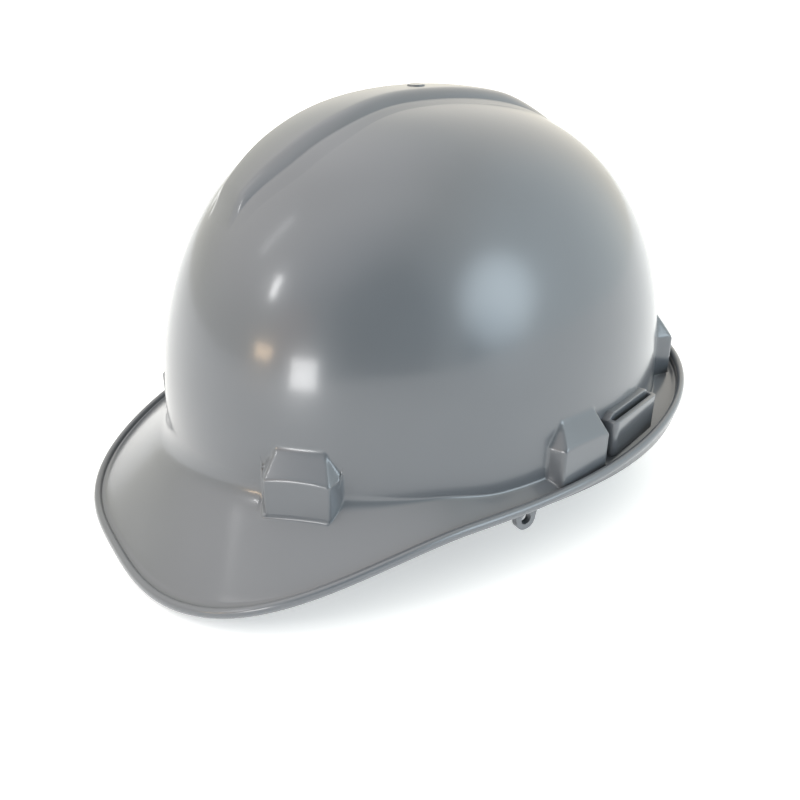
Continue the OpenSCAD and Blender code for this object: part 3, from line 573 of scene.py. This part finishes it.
# The ridge is a strip along the crown, with a blunt nose over the brow and a tail that fades out behind.
# Across, it has a flat top, a shoulder that rolls down to a crease, and a low ledge.
def beam(name, rings, uv=None):
    """A closed solid from rings of points: an n by m grid, closed round its second direction and capped."""
    n, m = rings.shape[:2]
    i, j = np.meshgrid(np.arange(n - 1), np.arange(m), indexing="ij")
    k = (j + 1) % m
    sides = np.stack([i * m + j, i * m + k, (i + 1) * m + k, (i + 1) * m + j], axis=-1).reshape(-1, 4)
    ends = np.stack([np.arange(m)[::-1], (n - 1) * m + np.arange(m)])
    a, b, c = rings[n // 2, 0], rings[n // 2, 1], rings[n // 2 + 1, 0]
    outwards = np.dot(np.cross(b - a, c - a), a - rings[n // 2].mean(axis=0))
    if outwards < 0:
        sides, ends = sides[:, ::-1], ends[:, ::-1]
    return mesh_object(name, in_part(rings), [sides, ends], uv)


def dome_z(x, y):
    """The dome's height over a plan point: h (1 - s^(m/n))^(1/m), s being the plan superellipse's value."""
    length = np.where(y < 0, dome_front, dome_rear)
    s = np.abs(x / (dome_w / 2)) ** dome_plan + np.abs(y / length) ** dome_plan
    return dome_h * np.clip(1 - s ** (dome_side / dome_plan), 0, 1) ** (1 / dome_side)


ridge_h, ridge_top, ridge_slope, ridge_ledge, ledge_rise = 4.6, 28.0, 6.5, 6.5, 0.2
ridge_front, ridge_rear, nose_run, front_run, tail_run = 97.0, 84.0, 30.0, 9.0, 45.0
tip_share, brow_gain, waist_loss, waist_from, waist_run = 0.79, 0.46, 0.24, -50.0, 35.0
ledge_flare, flare_from, flare_run, ledge_fade = 0.4, -60.0, 30.0, 0.4
nose_blunt, shoulder_power = 0.4, 1.5
toe, toe_steps, sunk, seat = 0.5, [0.28, 0.1, 0.0], 1.6, 0.05
top_count, shoulder_count, ledge_count, under_count = 7, 15, 8, 6


def ridge_rings(y):
    """Rings of the ridge: 1 - (1 - t)^2 over the shoulder, a straight ledge that thins out, and a flush foot.
    """
    nose, tail = smooth((y + ridge_front) / nose_run), smooth(y / ridge_rear)
    waist, flare_end = smooth((y - waist_from) / waist_run), smooth((y - flare_from) / flare_run)
    crease = ridge_top / 2 * (tip_share + brow_gain * nose - waist_loss * waist)
    foot = crease + ridge_ledge * (1 + ledge_flare * (nose - flare_end) - ledge_fade * tail)
    rise = ridge_h * smooth((y + ridge_front) / front_run) * smooth((ridge_rear - y) / tail_run)
    t = np.linspace(0, 1, shoulder_count)[::-1] ** shoulder_power
    blunt = 1 - nose_blunt * (1 - nose[:, None])
    shoulder_x = crease[:, None] - ridge_slope * blunt * t
    shoulder_h = ledge_rise + (1 - ledge_rise) * (1 - (1 - t) ** 2)
    top_x = shoulder_x[:, :1] * np.linspace(0, 1, top_count + 1)[:-1]
    ledge = np.linspace(0, 1, ledge_count + 1)[1:]
    ledge_x = crease[:, None] + (foot - toe - crease)[:, None] * ledge
    ledge_h = ledge_rise * (1 - 0.6 * ledge ** 1.5 - 0.4 * smooth(ledge))
    toe_x = foot[:, None] - toe_steps
    under_x = foot[:, None] * np.linspace(1, 0, under_count)
    x = np.concatenate([top_x, shoulder_x, ledge_x, toe_x, under_x], axis=1)
    flat = np.zeros(len(toe_steps) + under_count)
    share = np.concatenate([np.ones(top_count), shoulder_h, ledge_h, flat])
    drop = np.zeros(len(share))
    drop[-under_count:] = sunk
    h = rise[:, None] * share - drop - seat
    x = np.concatenate([x, -x[:, -2:0:-1]], axis=1)
    h = np.concatenate([h, h[:, -2:0:-1]], axis=1)
    return np.stack([x, np.broadcast_to(y[:, None], x.shape), dome_z(x, y[:, None]) + h], axis=-1)


nose_end = -80.0
nose_y, back_y = np.linspace(-ridge_front, nose_end, 40)[:-1], np.linspace(nose_end, ridge_rear, 150)
ridge_y = np.concatenate([nose_y, back_y])
moulded_on(beam("crown_ridge", ridge_rings(ridge_y)))


# The accessory slots are narrow pockets behind the side bosses, for ear muffs and visors.
# They are moulded with the shell: a wall round three sides of a slit, and a higher pad behind it.
slot_len, slot_h, slot_gap, slot_wall, slot_pad, slot_rise = 40.0, 15.0, 1.8, 2.4, 2.2, 2.5
slot_root, slot_bend, slot_sunk, pad_half, pad_ramp = 1.8, 1.6, 1.2, 2.0, 0.22


def at_foot(b, points):
    """Points (sideways, outwards, up) in a foot frame at b degrees, moved to the dome's own frame."""
    middle, out, along = foot_frame(b)
    p = np.asarray(points, float)
    plan = middle + p[..., :1] * along + p[..., 1:2] * out
    return np.concatenate([plan, p[..., 2:]], axis=-1)


def rounded_path(corners, radius, steps=8):
    """A plan path through corners, each turned into a quarter-turn curve of the given radius."""
    corners = np.asarray(corners, float)
    points = [corners[0]]
    for before, here, after in zip(corners, corners[1:], corners[2:]):
        start = here + unit(before - here) * radius
        end = here + unit(after - here) * radius
        t = np.linspace(0, 1, steps)[:, None]
        points += list(curved(start, here, end, t))
    return np.array(points + [corners[-1]])


def wall_along(path, half, low, high, edge=0.5):
    """Rings of an upright wall along a plan path: straight sides and a rounded top edge."""
    ahead = unit(np.gradient(path, axis=0))
    across = np.stack([-ahead[:, 1], ahead[:, 0]], axis=1)
    turn = np.linspace(0, 90, 5) * DEG
    left, right = -half + edge - edge * np.cos(turn), half - edge + edge * np.cos(turn[::-1])
    side = np.concatenate([[-half], left, right, [half]])
    drop = np.concatenate([[0], edge * np.sin(turn) - edge, edge * np.sin(turn[::-1]) - edge, [0]])
    up = np.broadcast_to(np.asarray(high, float), len(path))[:, None] + drop
    up[:, [0, -1]] = low
    plan = path[:, None, :] + across[:, None, :] * side[None, :, None]
    return np.concatenate([plan, up[..., None]], axis=-1)


for side_name, b in (("left", slot_at), ("right", 180 - slot_at)):
    edge_u, out_v = slot_len / 2 - slot_wall / 2, slot_pad + slot_gap + slot_wall / 2
    corners = [[-edge_u, -slot_root], [-edge_u, out_v], [edge_u, out_v], [edge_u, -slot_root]]
    floor_z = float(foot_z(np.array([b * DEG]))[0]) - slot_sunk
    rim_rings = wall_along(rounded_path(corners, slot_bend), slot_wall / 2, floor_z, slot_h)
    u = np.linspace(-1, 1, 41)
    path = np.stack([u * (edge_u + slot_wall / 2 - 0.1), np.full(len(u), slot_pad - pad_half)], axis=1)
    pad_high = slot_h + slot_rise * smooth((1 - np.abs(u)) / pad_ramp)
    pad_rings = wall_along(path, pad_half, floor_z, pad_high)
    moulded_on(beam("accessory_slot_rim_" + side_name, at_foot(b, rim_rings)))
    moulded_on(beam("accessory_slot_pad_" + side_name, at_foot(b, pad_rings)))


# Inside, the dome's wall carries on across the back of each key pocket, so a key can hook over it.
# The mark of the moulding gate stands on the crown.
key_names = ["front_right", "front_left", "side_left", "rear_left", "rear_right", "side_right"]
key_drop, gap = 3.0, 0.3
back_half, back_in, back_short = 0.3 * wall, 0.4, 1.0


def key_z(b):
    """Height of a key's lower edge at b degrees: key_drop under the dome's foot."""
    return float(foot_z(np.array([b * DEG]))[0]) - key_drop


for key_name, b in zip(key_names, boss_at):
    reach = (boss_root / 2 - back_short) / foot_r(np.array(b * DEG))
    path = dome_pt(b * DEG + np.linspace(-reach, reach, 13), boss_h - back_short, back_half + back_in)
    rings = wall_along(path, back_half, key_z(b) + gap, boss_h - back_short)
    moulded_on(beam("pocket_wall_" + key_name, rings))

gate_r, gate_h, gate_edge, gate_dish = 4.0, 0.5, 0.5, 0.25
turn = np.linspace(0, 1, 7) * np.pi / 2
edge_r = gate_r - gate_edge + gate_edge * np.cos(turn)
edge_z = gate_h - gate_edge + gate_edge * np.sin(turn)
gate_r_rows = np.concatenate([[gate_r + 0.2, gate_r], edge_r, [0.02]])
gate_z_rows = np.concatenate([[-1.2, -0.3], edge_z, [gate_h - gate_dish]])
gate_a = np.arange(0, 360, 7.5) * DEG
moulded_on(beam("gate_mark", at_r(gate_a, gate_r_rows[:, None], dome_h + ridge_h + gate_z_rows[:, None])))


# The chin strap lugs are tabs with an eye, of the shell's own plastic, set under the sides of the brim.
# The hanger keys, the nape covers and the racks are satin black nylon.
def dress(name, look):
    """Gives one of the part's own nodes its look."""
    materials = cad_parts[name].data.materials
    materials.clear()
    materials.append(look)


dress("chin_strap_lugs", shell_mat)


def nylon(name, colour, low_rough=0.4, high_rough=0.55):
    """A moulded nylon: nearly even colour, a fine grain and a soft sheen of its own roughness."""
    mat, tree, shader, place = new_material(name)
    grain = grained(tree, place, 900.0, 3.0, 0.6, 0.00006, 0.4)
    cloud = grained(tree, place, 35.0)
    shade = spread(tree, cloud.outputs["Value"], [c * 0.85 for c in colour], [c * 1.15 for c in colour])
    tree.links.new(shade, shader.inputs["Base Color"])
    tree.links.new(spread(tree, grain.outputs["Value"], low_rough, high_rough), shader.inputs["Roughness"])
    tree.links.new(grain.outputs["Normal"], shader.inputs["Normal"])
    return mat


black_nylon = nylon("black_nylon", (0.022, 0.022, 0.025))
black_nodes = ["band_studs", "rack_left", "rack_right", "nape_cover_outer", "nape_cover_inner"]
for name in ["key_" + k for k in key_names] + black_nodes:
    dress(name, black_nylon)


# Three lengths of woven webbing cross over the crown. Each is sewn back on itself behind a key's slot.
# The lines are flat at the keys, rise steeply and lie over each other at the top.
web_w, web_t, web_top, web_z, key_t = 22.0, 1.4, 104.0, 16.0, 2.8
plate_v, turn_in, web_lift, arch, arch_side = -4.6, 2.4, 3.0, 2.6, 0.75
twist_from, twist_end, twist_run = 0.07, 0.93, 0.16
hem_t, hem_high = 0.7, 1.6


def web_line(b, d, top, steps=56):
    """Middle line and length of a strap: straight out of a key, then (1 - |t|^2.6)^0.75 over the crown."""
    v = plate_v - key_t - turn_in
    ends = [[[at_foot(k, [0, out, web_z])] for out in (plate_v + gap, v + 2)] for k in (b, d)]
    p, q = at_foot(b, [0, v, web_z]), at_foot(d, [0, v, web_z])
    t = np.linspace(-1, 1, 2 * steps + 1)[:, None]
    plan = (q - p)[:2] / 2 * t + (p + q)[:2] / 2 * t * t
    low = web_z + web_lift
    rise = low + (top - low) * np.clip(1 - np.abs(t) ** arch, 0, 1) ** arch_side
    over = np.concatenate([plan, rise], axis=1)
    line = np.concatenate([ends[0][0], ends[0][1], over, ends[1][1], ends[1][0]])
    even = np.linspace(0, 1, 3 * steps)
    run = np.concatenate([[0], np.cumsum(np.linalg.norm(np.diff(line, axis=0), axis=1))])
    return np.stack([np.interp(even * run[-1], run, line[:, k]) for k in range(3)], axis=1), run[-1]


def side_of(b, towards):
    """A foot frame's sideways direction, turned to agree with another direction."""
    along = np.append(foot_frame(b)[2], 0)
    return along * np.sign(along @ towards)


def web_rings(line, b, d):
    """Rings of a strap with round selvedges, and each ring point's place across it."""
    n = len(line)
    flat = line[-1] - line[0]
    level = unit(np.cross([0, 0, 1.0], [flat[0], flat[1], 0]))
    i = np.arange(n)[:, None] / n
    start, end = 1 - smooth((i - twist_from) / twist_run), 1 - smooth((twist_end - i) / twist_run)
    across = unit(level * (1 - start - end) + side_of(b, level) * start + side_of(d, level) * end)
    ahead = unit(np.gradient(line, axis=0))
    out = unit(np.cross(ahead, across))
    half, thin = web_w / 2 - 0.4, web_t / 2
    turn = np.linspace(-90, 90, 5) * DEG
    u = np.concatenate([half - thin + thin * np.cos(turn), -half + thin - thin * np.cos(turn[::-1])])
    w = np.concatenate([thin * np.sin(turn), thin * np.sin(turn[::-1])])
    u, w = np.insert(u, 5, [half * 0.5, 0, -half * 0.5]), np.insert(w, 5, [thin] * 3)
    u, w = np.append(u, [-half * 0.5, 0, half * 0.5]), np.append(w, [-thin] * 3)
    return line[:, None] + across[:, None] * u[None, :, None] + out[:, None] * w[None, :, None], u


def cloth(name, dark, light, weft, warp, depth):
    """A woven cloth: the product of two waves at right angles, of weft and warp threads per metre."""
    mat, tree, shader, _ = new_material(name)
    place = tree.nodes.new("ShaderNodeUVMap")
    place.uv_map = "surface"
    waves = []
    for turn, threads in ((0, weft), (90 * DEG, warp)):
        mapping = tree.nodes.new("ShaderNodeMapping")
        mapping.inputs["Rotation"].default_value = (0, 0, turn)
        wave = tree.nodes.new("ShaderNodeTexWave")
        # At scale 1 this node draws 20 / 2 pi waves in each unit of length.
        wave.inputs["Scale"].default_value = threads * 2 * np.pi / 20
        wave.inputs["Distortion"].default_value = 0.6
        wave.inputs["Detail Scale"].default_value = 2.0
        tree.links.new(place.outputs["UV"], mapping.inputs["Vector"])
        tree.links.new(mapping.outputs["Vector"], wave.inputs["Vector"])
        waves.append(wave.outputs["Fac"])
    weave = tree.nodes.new("ShaderNodeMath")
    weave.operation = "MULTIPLY"
    tree.links.new(waves[0], weave.inputs[0])
    tree.links.new(waves[1], weave.inputs[1])
    tree.links.new(spread(tree, weave.outputs[0], dark, light, (0.05, 0.8)), shader.inputs["Base Color"])
    shader.inputs["Roughness"].default_value = 0.85
    shader.inputs["Sheen Weight"].default_value = 0.25
    bump = tree.nodes.new("ShaderNodeBump")
    bump.inputs["Strength"].default_value = 0.8
    bump.inputs["Distance"].default_value = depth
    tree.links.new(weave.outputs[0], bump.inputs["Height"])
    tree.links.new(bump.outputs["Normal"], shader.inputs["Normal"])
    return mat


webbing = cloth("grey_webbing", (0.035, 0.037, 0.042), (0.1, 0.105, 0.115), 900, 1500, 0.0003)
straps = (("side", side_at, 180 - side_at), ("left", front_at, 180 - rear_at),
          ("right", -180 - front_at, rear_at))
for layer, (strap_name, b, d) in enumerate(straps):
    line, length = web_line(b, d, web_top + layer * (web_t + 2 * gap))
    rings, across = web_rings(line, b, d)
    run = np.linspace(0, length, len(line))
    uv = np.stack(np.broadcast_arrays(run[:, None] * MM, across[None, :] * MM), axis=-1)
    strap = beam("crown_webbing_" + strap_name, rings, uv)
    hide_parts("crown_strap_" + strap_name)
    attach(strap, "helmet")
    strap.data.materials.append(webbing)
    for end_name, k in (("front", b), ("rear", d)):
        u = np.array([-1, 1, 1, -1]) * (web_w / 2 - 0.5)
        up = np.array([-1, -1, 1, 1]) * hem_high * web_t
        front_v, back_v = plate_v + gap, plate_v + gap + hem_t
        rows = [(front_v, 0.9), (front_v, 1.0), (back_v, 1.0), (back_v, 0.9)]
        hem_rings = np.stack([np.stack([u, np.full(4, v), web_z + up * s], axis=-1) for v, s in rows])
        hem = beam("webbing_hem_" + strap_name + "_" + end_name, at_foot(k, hem_rings),
                   hem_rings[..., [0, 2]] * MM)
        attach(hem, "helmet")
        hem.data.materials.append(webbing)


# The crown pad is a round cushion of soft foam in brushed cloth, sewn under the webbing's crossing.
# Six sewn channels draw it in, and a piping runs round its edge.
pad_r, pad_t, pad_arch, piping_r, piping_low = 24.0, 6.0, 4.4, 0.9, 5.0
ring_at, ring_w, seam_w, seam_deep = 0.42, 0.6, 0.55, 1.7
pad_top = web_top - web_t / 2 - gap
pad_rows = np.linspace(0.02, 1, 30)
pad_cols = np.arange(0, 360, 2.5) * DEG


def pad_low(share, a):
    """Thickness of the pad, (1 - share^4)^0.5 from middle to edge, less a bell curve across each sewn line."""
    belly = np.clip(1 - share ** 4, 0, 1) ** 0.5
    line = np.exp(-((np.abs(np.sin(3 * a)) * share * pad_r / 3) / seam_w) ** 2)
    ring = np.exp(-((share - ring_at) * pad_r / ring_w) ** 2)
    return belly * (pad_t - seam_deep * np.maximum(line * (share > ring_at), ring))


share, a = np.meshgrid(pad_rows, pad_cols, indexing="ij")
top_face = at_r(a, share * pad_r, pad_top - pad_arch * share ** 2)
low_face = at_r(a, share * pad_r, pad_top - pad_arch - pad_low(share, a))
rim_t = np.linspace(0, 180, 9)[1:-1, None] * DEG
piping = at_r(pad_cols, pad_r + piping_r * np.sin(rim_t), pad_top - piping_low + piping_r * np.cos(rim_t))
pad = beam("crown_cushion", np.concatenate([top_face, piping, low_face[::-1]]))
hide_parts("crown_pad")
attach(pad, "helmet")


def brushed(name, colour, cells):
    """Brushed knit over foam: a fine tangled nap of cells per metre with a sheen, lighter on its tips."""
    mat, tree, shader, place = new_material(name)
    nap = grained(tree, place, cells, 4.0, 0.7, 0.0002, 0.7)
    shade = spread(tree, nap.outputs["Value"], [c * 0.6 for c in colour], [c * 1.5 for c in colour])
    tree.links.new(shade, shader.inputs["Base Color"])
    shader.inputs["Roughness"].default_value = 0.95
    shader.inputs["Sheen Weight"].default_value = 0.4
    shader.inputs["Sheen Roughness"].default_value = 0.5
    tree.links.new(nap.outputs["Normal"], shader.inputs["Normal"])
    return mat


foam_cloth = brushed("foam_cloth", (0.03, 0.03, 0.034), 2600.0)
pad.data.materials.append(foam_cloth)


# The brow band is the headband's front: a strip of black nylon, an ellipse in plan, that slopes to the nape.
# Ribs run along both its edges. Studs hold it to the arms of four keys.
band_w, band_front, band_back, band_t = 158.0, 103.0, 101.0, 1.8
brow_h, temple_h, brow_z, temple_a = 32.0, 24.0, 12.0, 18.0
nape_h, rack_h, rack_t, rack_end = 34.0, 22.0, 1.8, 40.0
nape_z = nape_h / 2 - stand_h


def band_z(y):
    """Height of the headband's middle: a straight slope from brow_z at the brow to nape_z at the nape."""
    return brow_z - (brow_z - nape_z) / (band_front + band_back) * (y + band_front)


def brow_pt(a, off):
    """A plan point at angle a of the headband's ellipse, drawn in by off."""
    return np.stack([(band_w / 2 - off) * np.cos(a), (band_front - off) * np.sin(a)], axis=-1)


def brow_n(a):
    """The ellipse's outward direction: its gradient, (cos a / half width, sin a / half length)."""
    return unit(np.stack([np.cos(a) / band_w * 2, np.sin(a) / band_front], axis=-1))


def strip_rings(p, n, z, h):
    """Rings of an upright strip: its section has rounded edges and a shallow rib along each."""
    depth = np.array([0.25, 0, 0, 0.3, 0.3, 0, 0, 0.25, 0.75, 1, 1, 1, 1, 0.75]) * band_t
    up = np.array([-1, -0.97, -0.84, -0.8, 0.8, 0.84, 0.97, 1, 1, 0.97, 0.4, -0.4, -0.97, -1]) / 2
    plan = p[:, None] - n[:, None] * depth[None, :, None]
    height = z[:, None] + h[:, None] * up[None, :]
    return np.concatenate([plan, height[..., None]], axis=-1)


brow_a = np.linspace(temple_a, -180 - temple_a, 181) * DEG
brow_p = brow_pt(brow_a, 0)
brow_rise = temple_h + (brow_h - temple_h) * np.abs(np.sin(brow_a)) ** 3
brow = beam("brow_band", strip_rings(brow_p, brow_n(brow_a), band_z(brow_p[:, 1]), brow_rise))
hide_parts("front_band")
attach(brow, "helmet")
brow.data.materials.append(black_nylon)


# The sweatband is a soft strip of brushed cloth over thin foam that lines the brow.
# It is crowned between two sewn lines, thins towards its ends, and has sewn channels across it.
sweat_t, sweat_h, fade_from, fade_run, end_loss = 3.4, 38.0, 0.12, 0.3, 8.0
seam_at, seam_share = 0.78, 0.035
channel_step, channel_w, channel_deep, channel_reach = 18.0, 0.9, 0.28, 0.7


def sweat_rings(a):
    """Rings of the sweatband: an even back, and a front crowned as (1 - w^4)^0.5 with sewn lines in it."""
    fade = smooth((np.abs(np.sin(a)) - fade_from) / fade_run)
    p, n = brow_pt(a, band_t + gap), brow_n(a)
    thick, height = 1 + (sweat_t - 1) * fade, (sweat_h - end_loss + end_loss * fade) / 2
    w = np.sin(np.linspace(-90, 90, 25) * DEG)
    seam = np.exp(-((np.abs(w) - seam_at) / seam_share) ** 2)
    run = np.cumsum(np.concatenate([[0], np.linalg.norm(np.diff(p, axis=0), axis=1)]))
    half = channel_step / 2
    channel = np.exp(-((np.mod(run - run[-1] / 2 + half, channel_step) - half) / channel_w) ** 2)
    crown = np.clip(1 - w ** 4, 0, 1) ** 0.5 * (1 - 0.3 * seam)
    between = (np.abs(w) < channel_reach)[None, :]
    face = 0.25 + 0.75 * crown[None, :] * (1 - channel_deep * channel[:, None] * between)
    depth = np.concatenate([face, np.zeros((len(a), 2))], axis=1) * thick[:, None]
    up = np.concatenate([w, [0.86, -0.86]])
    plan = p[:, None] - n[:, None] * depth[..., None]
    z = band_z(p[:, 1])[:, None] + height[:, None] * up[None, :]
    return np.concatenate([plan, z[..., None]], axis=-1)


sweatband = beam("brow_cushion", sweat_rings(np.linspace(-9, -171, 281) * DEG))
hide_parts("sweatband")
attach(sweatband, "helmet")
sweat_cloth = brushed("sweat_cloth", (0.045, 0.045, 0.05), 1800.0)
sweatband.data.materials.append(sweat_cloth)


# The side bands are the headband's flexible ends, which run from the temples into the racks.
# Each is drawn as a curve from the temple, then a straight last stretch, which slides past the other rack.
straight_from, bend_share, temple_pull, rack_pull = 61.0, 0.8, 38.0, 74.0


def side_curve(s, t):
    """Points and outward directions: a cubic Bezier curve from the temple, then a straight run to the rack."""
    y = band_back + rack_t + (0 if s > 0 else rack_t + 2 * gap)
    a = np.array(temple_a * DEG)
    p, n = brow_pt(a, 0), brow_n(a)
    q = np.array([p, p + temple_pull * np.array([-n[1], n[0]]), [rack_pull, y], [straight_from, y]])
    run = (straight_from - rack_end) * np.clip((t - bend_share) / (1 - bend_share), 0, 1)
    t = np.clip(t / bend_share, 0, 1)[:, None]
    point = (1 - t) ** 3 * q[0] + 3 * t * (1 - t) ** 2 * q[1] + 3 * t * t * (1 - t) * q[2] + t ** 3 * q[3]
    slope = (1 - t) ** 2 * (q[1] - q[0]) + 2 * t * (1 - t) * (q[2] - q[1]) + t * t * (q[3] - q[2])
    point[:, 0] -= run
    return point, unit(np.stack([slope[:, 1], -slope[:, 0]], axis=1))


for side_name, s in (("left", 1), ("right", -1)):
    t = np.linspace(0, 1, 81)
    point, out = side_curve(s, t)
    temple_rise = temple_h + (brow_h - temple_h) * np.sin(temple_a * DEG) ** 3
    t = np.clip(t / bend_share, 0, 1)
    rings = strip_rings(point, out, band_z(point[:, 1]) * (1 - t) + nape_z * t,
                        temple_rise + (rack_h - temple_rise) * t)
    rings = rings * [s, 1, 1]
    band = beam("headband_" + side_name, rings)
    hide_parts("side_band_" + side_name)
    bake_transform(band)
    band.data.materials.append(black_nylon)


# The nape pad is a small cushion of foam in brushed cloth on the inner cover.
# One sewn line runs round it and one down its middle.
inner_y = band_back - 2 * gap - 2.2
nape_half, nape_rise, nape_pad_t, nape_edge = 20.0, nape_h / 2 - 1.5, 5.0, 0.6
wide, high = 61, 45
line_at, line_share, line_w, line_deep = 0.8, 0.03, 0.6, 0.28


def pad_front(u, v):
    """Depth of the pad's front: ((1 - u^4)(1 - v^4))^0.5, less a bell curve across each sewn line."""
    pillow = (np.clip(1 - u ** 4, 0, 1) * np.clip(1 - v ** 4, 0, 1)) ** 0.5
    from_middle = np.maximum(np.abs(u), np.abs(v) * 0.97 + 0.03)
    round_seam = np.exp(-((from_middle - line_at) / line_share) ** 2)
    middle_seam = np.exp(-(u * nape_half / line_w) ** 2) * (np.abs(v) < 0.78)
    drawn = 1 - line_deep * np.maximum(round_seam, middle_seam)
    return inner_y - nape_edge - (nape_pad_t - nape_edge) * pillow * drawn


u = np.sin(np.linspace(-90, 90, wide) * DEG)
v = np.sin(np.linspace(-90, 90, high) * DEG)
u, v = np.meshgrid(u, v, indexing="ij")
front_face = np.stack([u * nape_half, pad_front(u, v), nape_z + v * nape_rise], axis=-1)
back_y = np.full(u.shape, inner_y - gap / 2)
back_face = np.stack([u * nape_half * 0.99, back_y, nape_z + v * nape_rise * 0.99], axis=-1)
number = np.arange(wide * high).reshape(wide, high)
edge = np.concatenate([number[:-1, 0], number[-1, :-1], number[:0:-1, -1], number[0, :0:-1]])
skirt = np.stack([edge, np.roll(edge, -1), np.roll(edge, -1) + wide * high, edge + wide * high], axis=1)
quads = grid_faces(wide, high, False)
both_faces = in_part(np.concatenate([front_face.reshape(-1, 3), back_face.reshape(-1, 3)]))
nape_cushion = mesh_object("nape_cushion", both_faces,
                           np.concatenate([quads, quads[:, ::-1] + wide * high, skirt[:, ::-1]]))
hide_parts("nape_pad")
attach(nape_cushion, "nape")
nape_cushion.data.materials.append(foam_cloth)


# The dial's knob is textured black plastic, its pinion and click spring are natural nylon,
# and the screws are zinc-plated steel.
def plated_steel(name):
    """Bright zinc plate with fine turned scratches."""
    mat, tree, shader, place = new_material(name)
    scratches = grained(tree, place, 1600.0, 5.0, 0.7).outputs["Value"]
    shade = spread(tree, scratches, (0.42, 0.43, 0.46), (0.6, 0.61, 0.63))
    tree.links.new(shade, shader.inputs["Base Color"])
    tree.links.new(spread(tree, scratches, 0.22, 0.4), shader.inputs["Roughness"])
    shader.inputs["Metallic"].default_value = 1.0
    return mat


knob_plastic = nylon("knob_plastic", (0.026, 0.026, 0.03), 0.45, 0.65)
natural_nylon = nylon("natural_nylon", (0.55, 0.54, 0.5))
steel = plated_steel("plated_steel")
dial_looks = {"adjust_knob": knob_plastic, "pinion": natural_nylon, "click_spring": natural_nylon,
              "nape_screws": steel, "knob_screw": steel}
for name, look in dial_looks.items():
    dress(name, look)
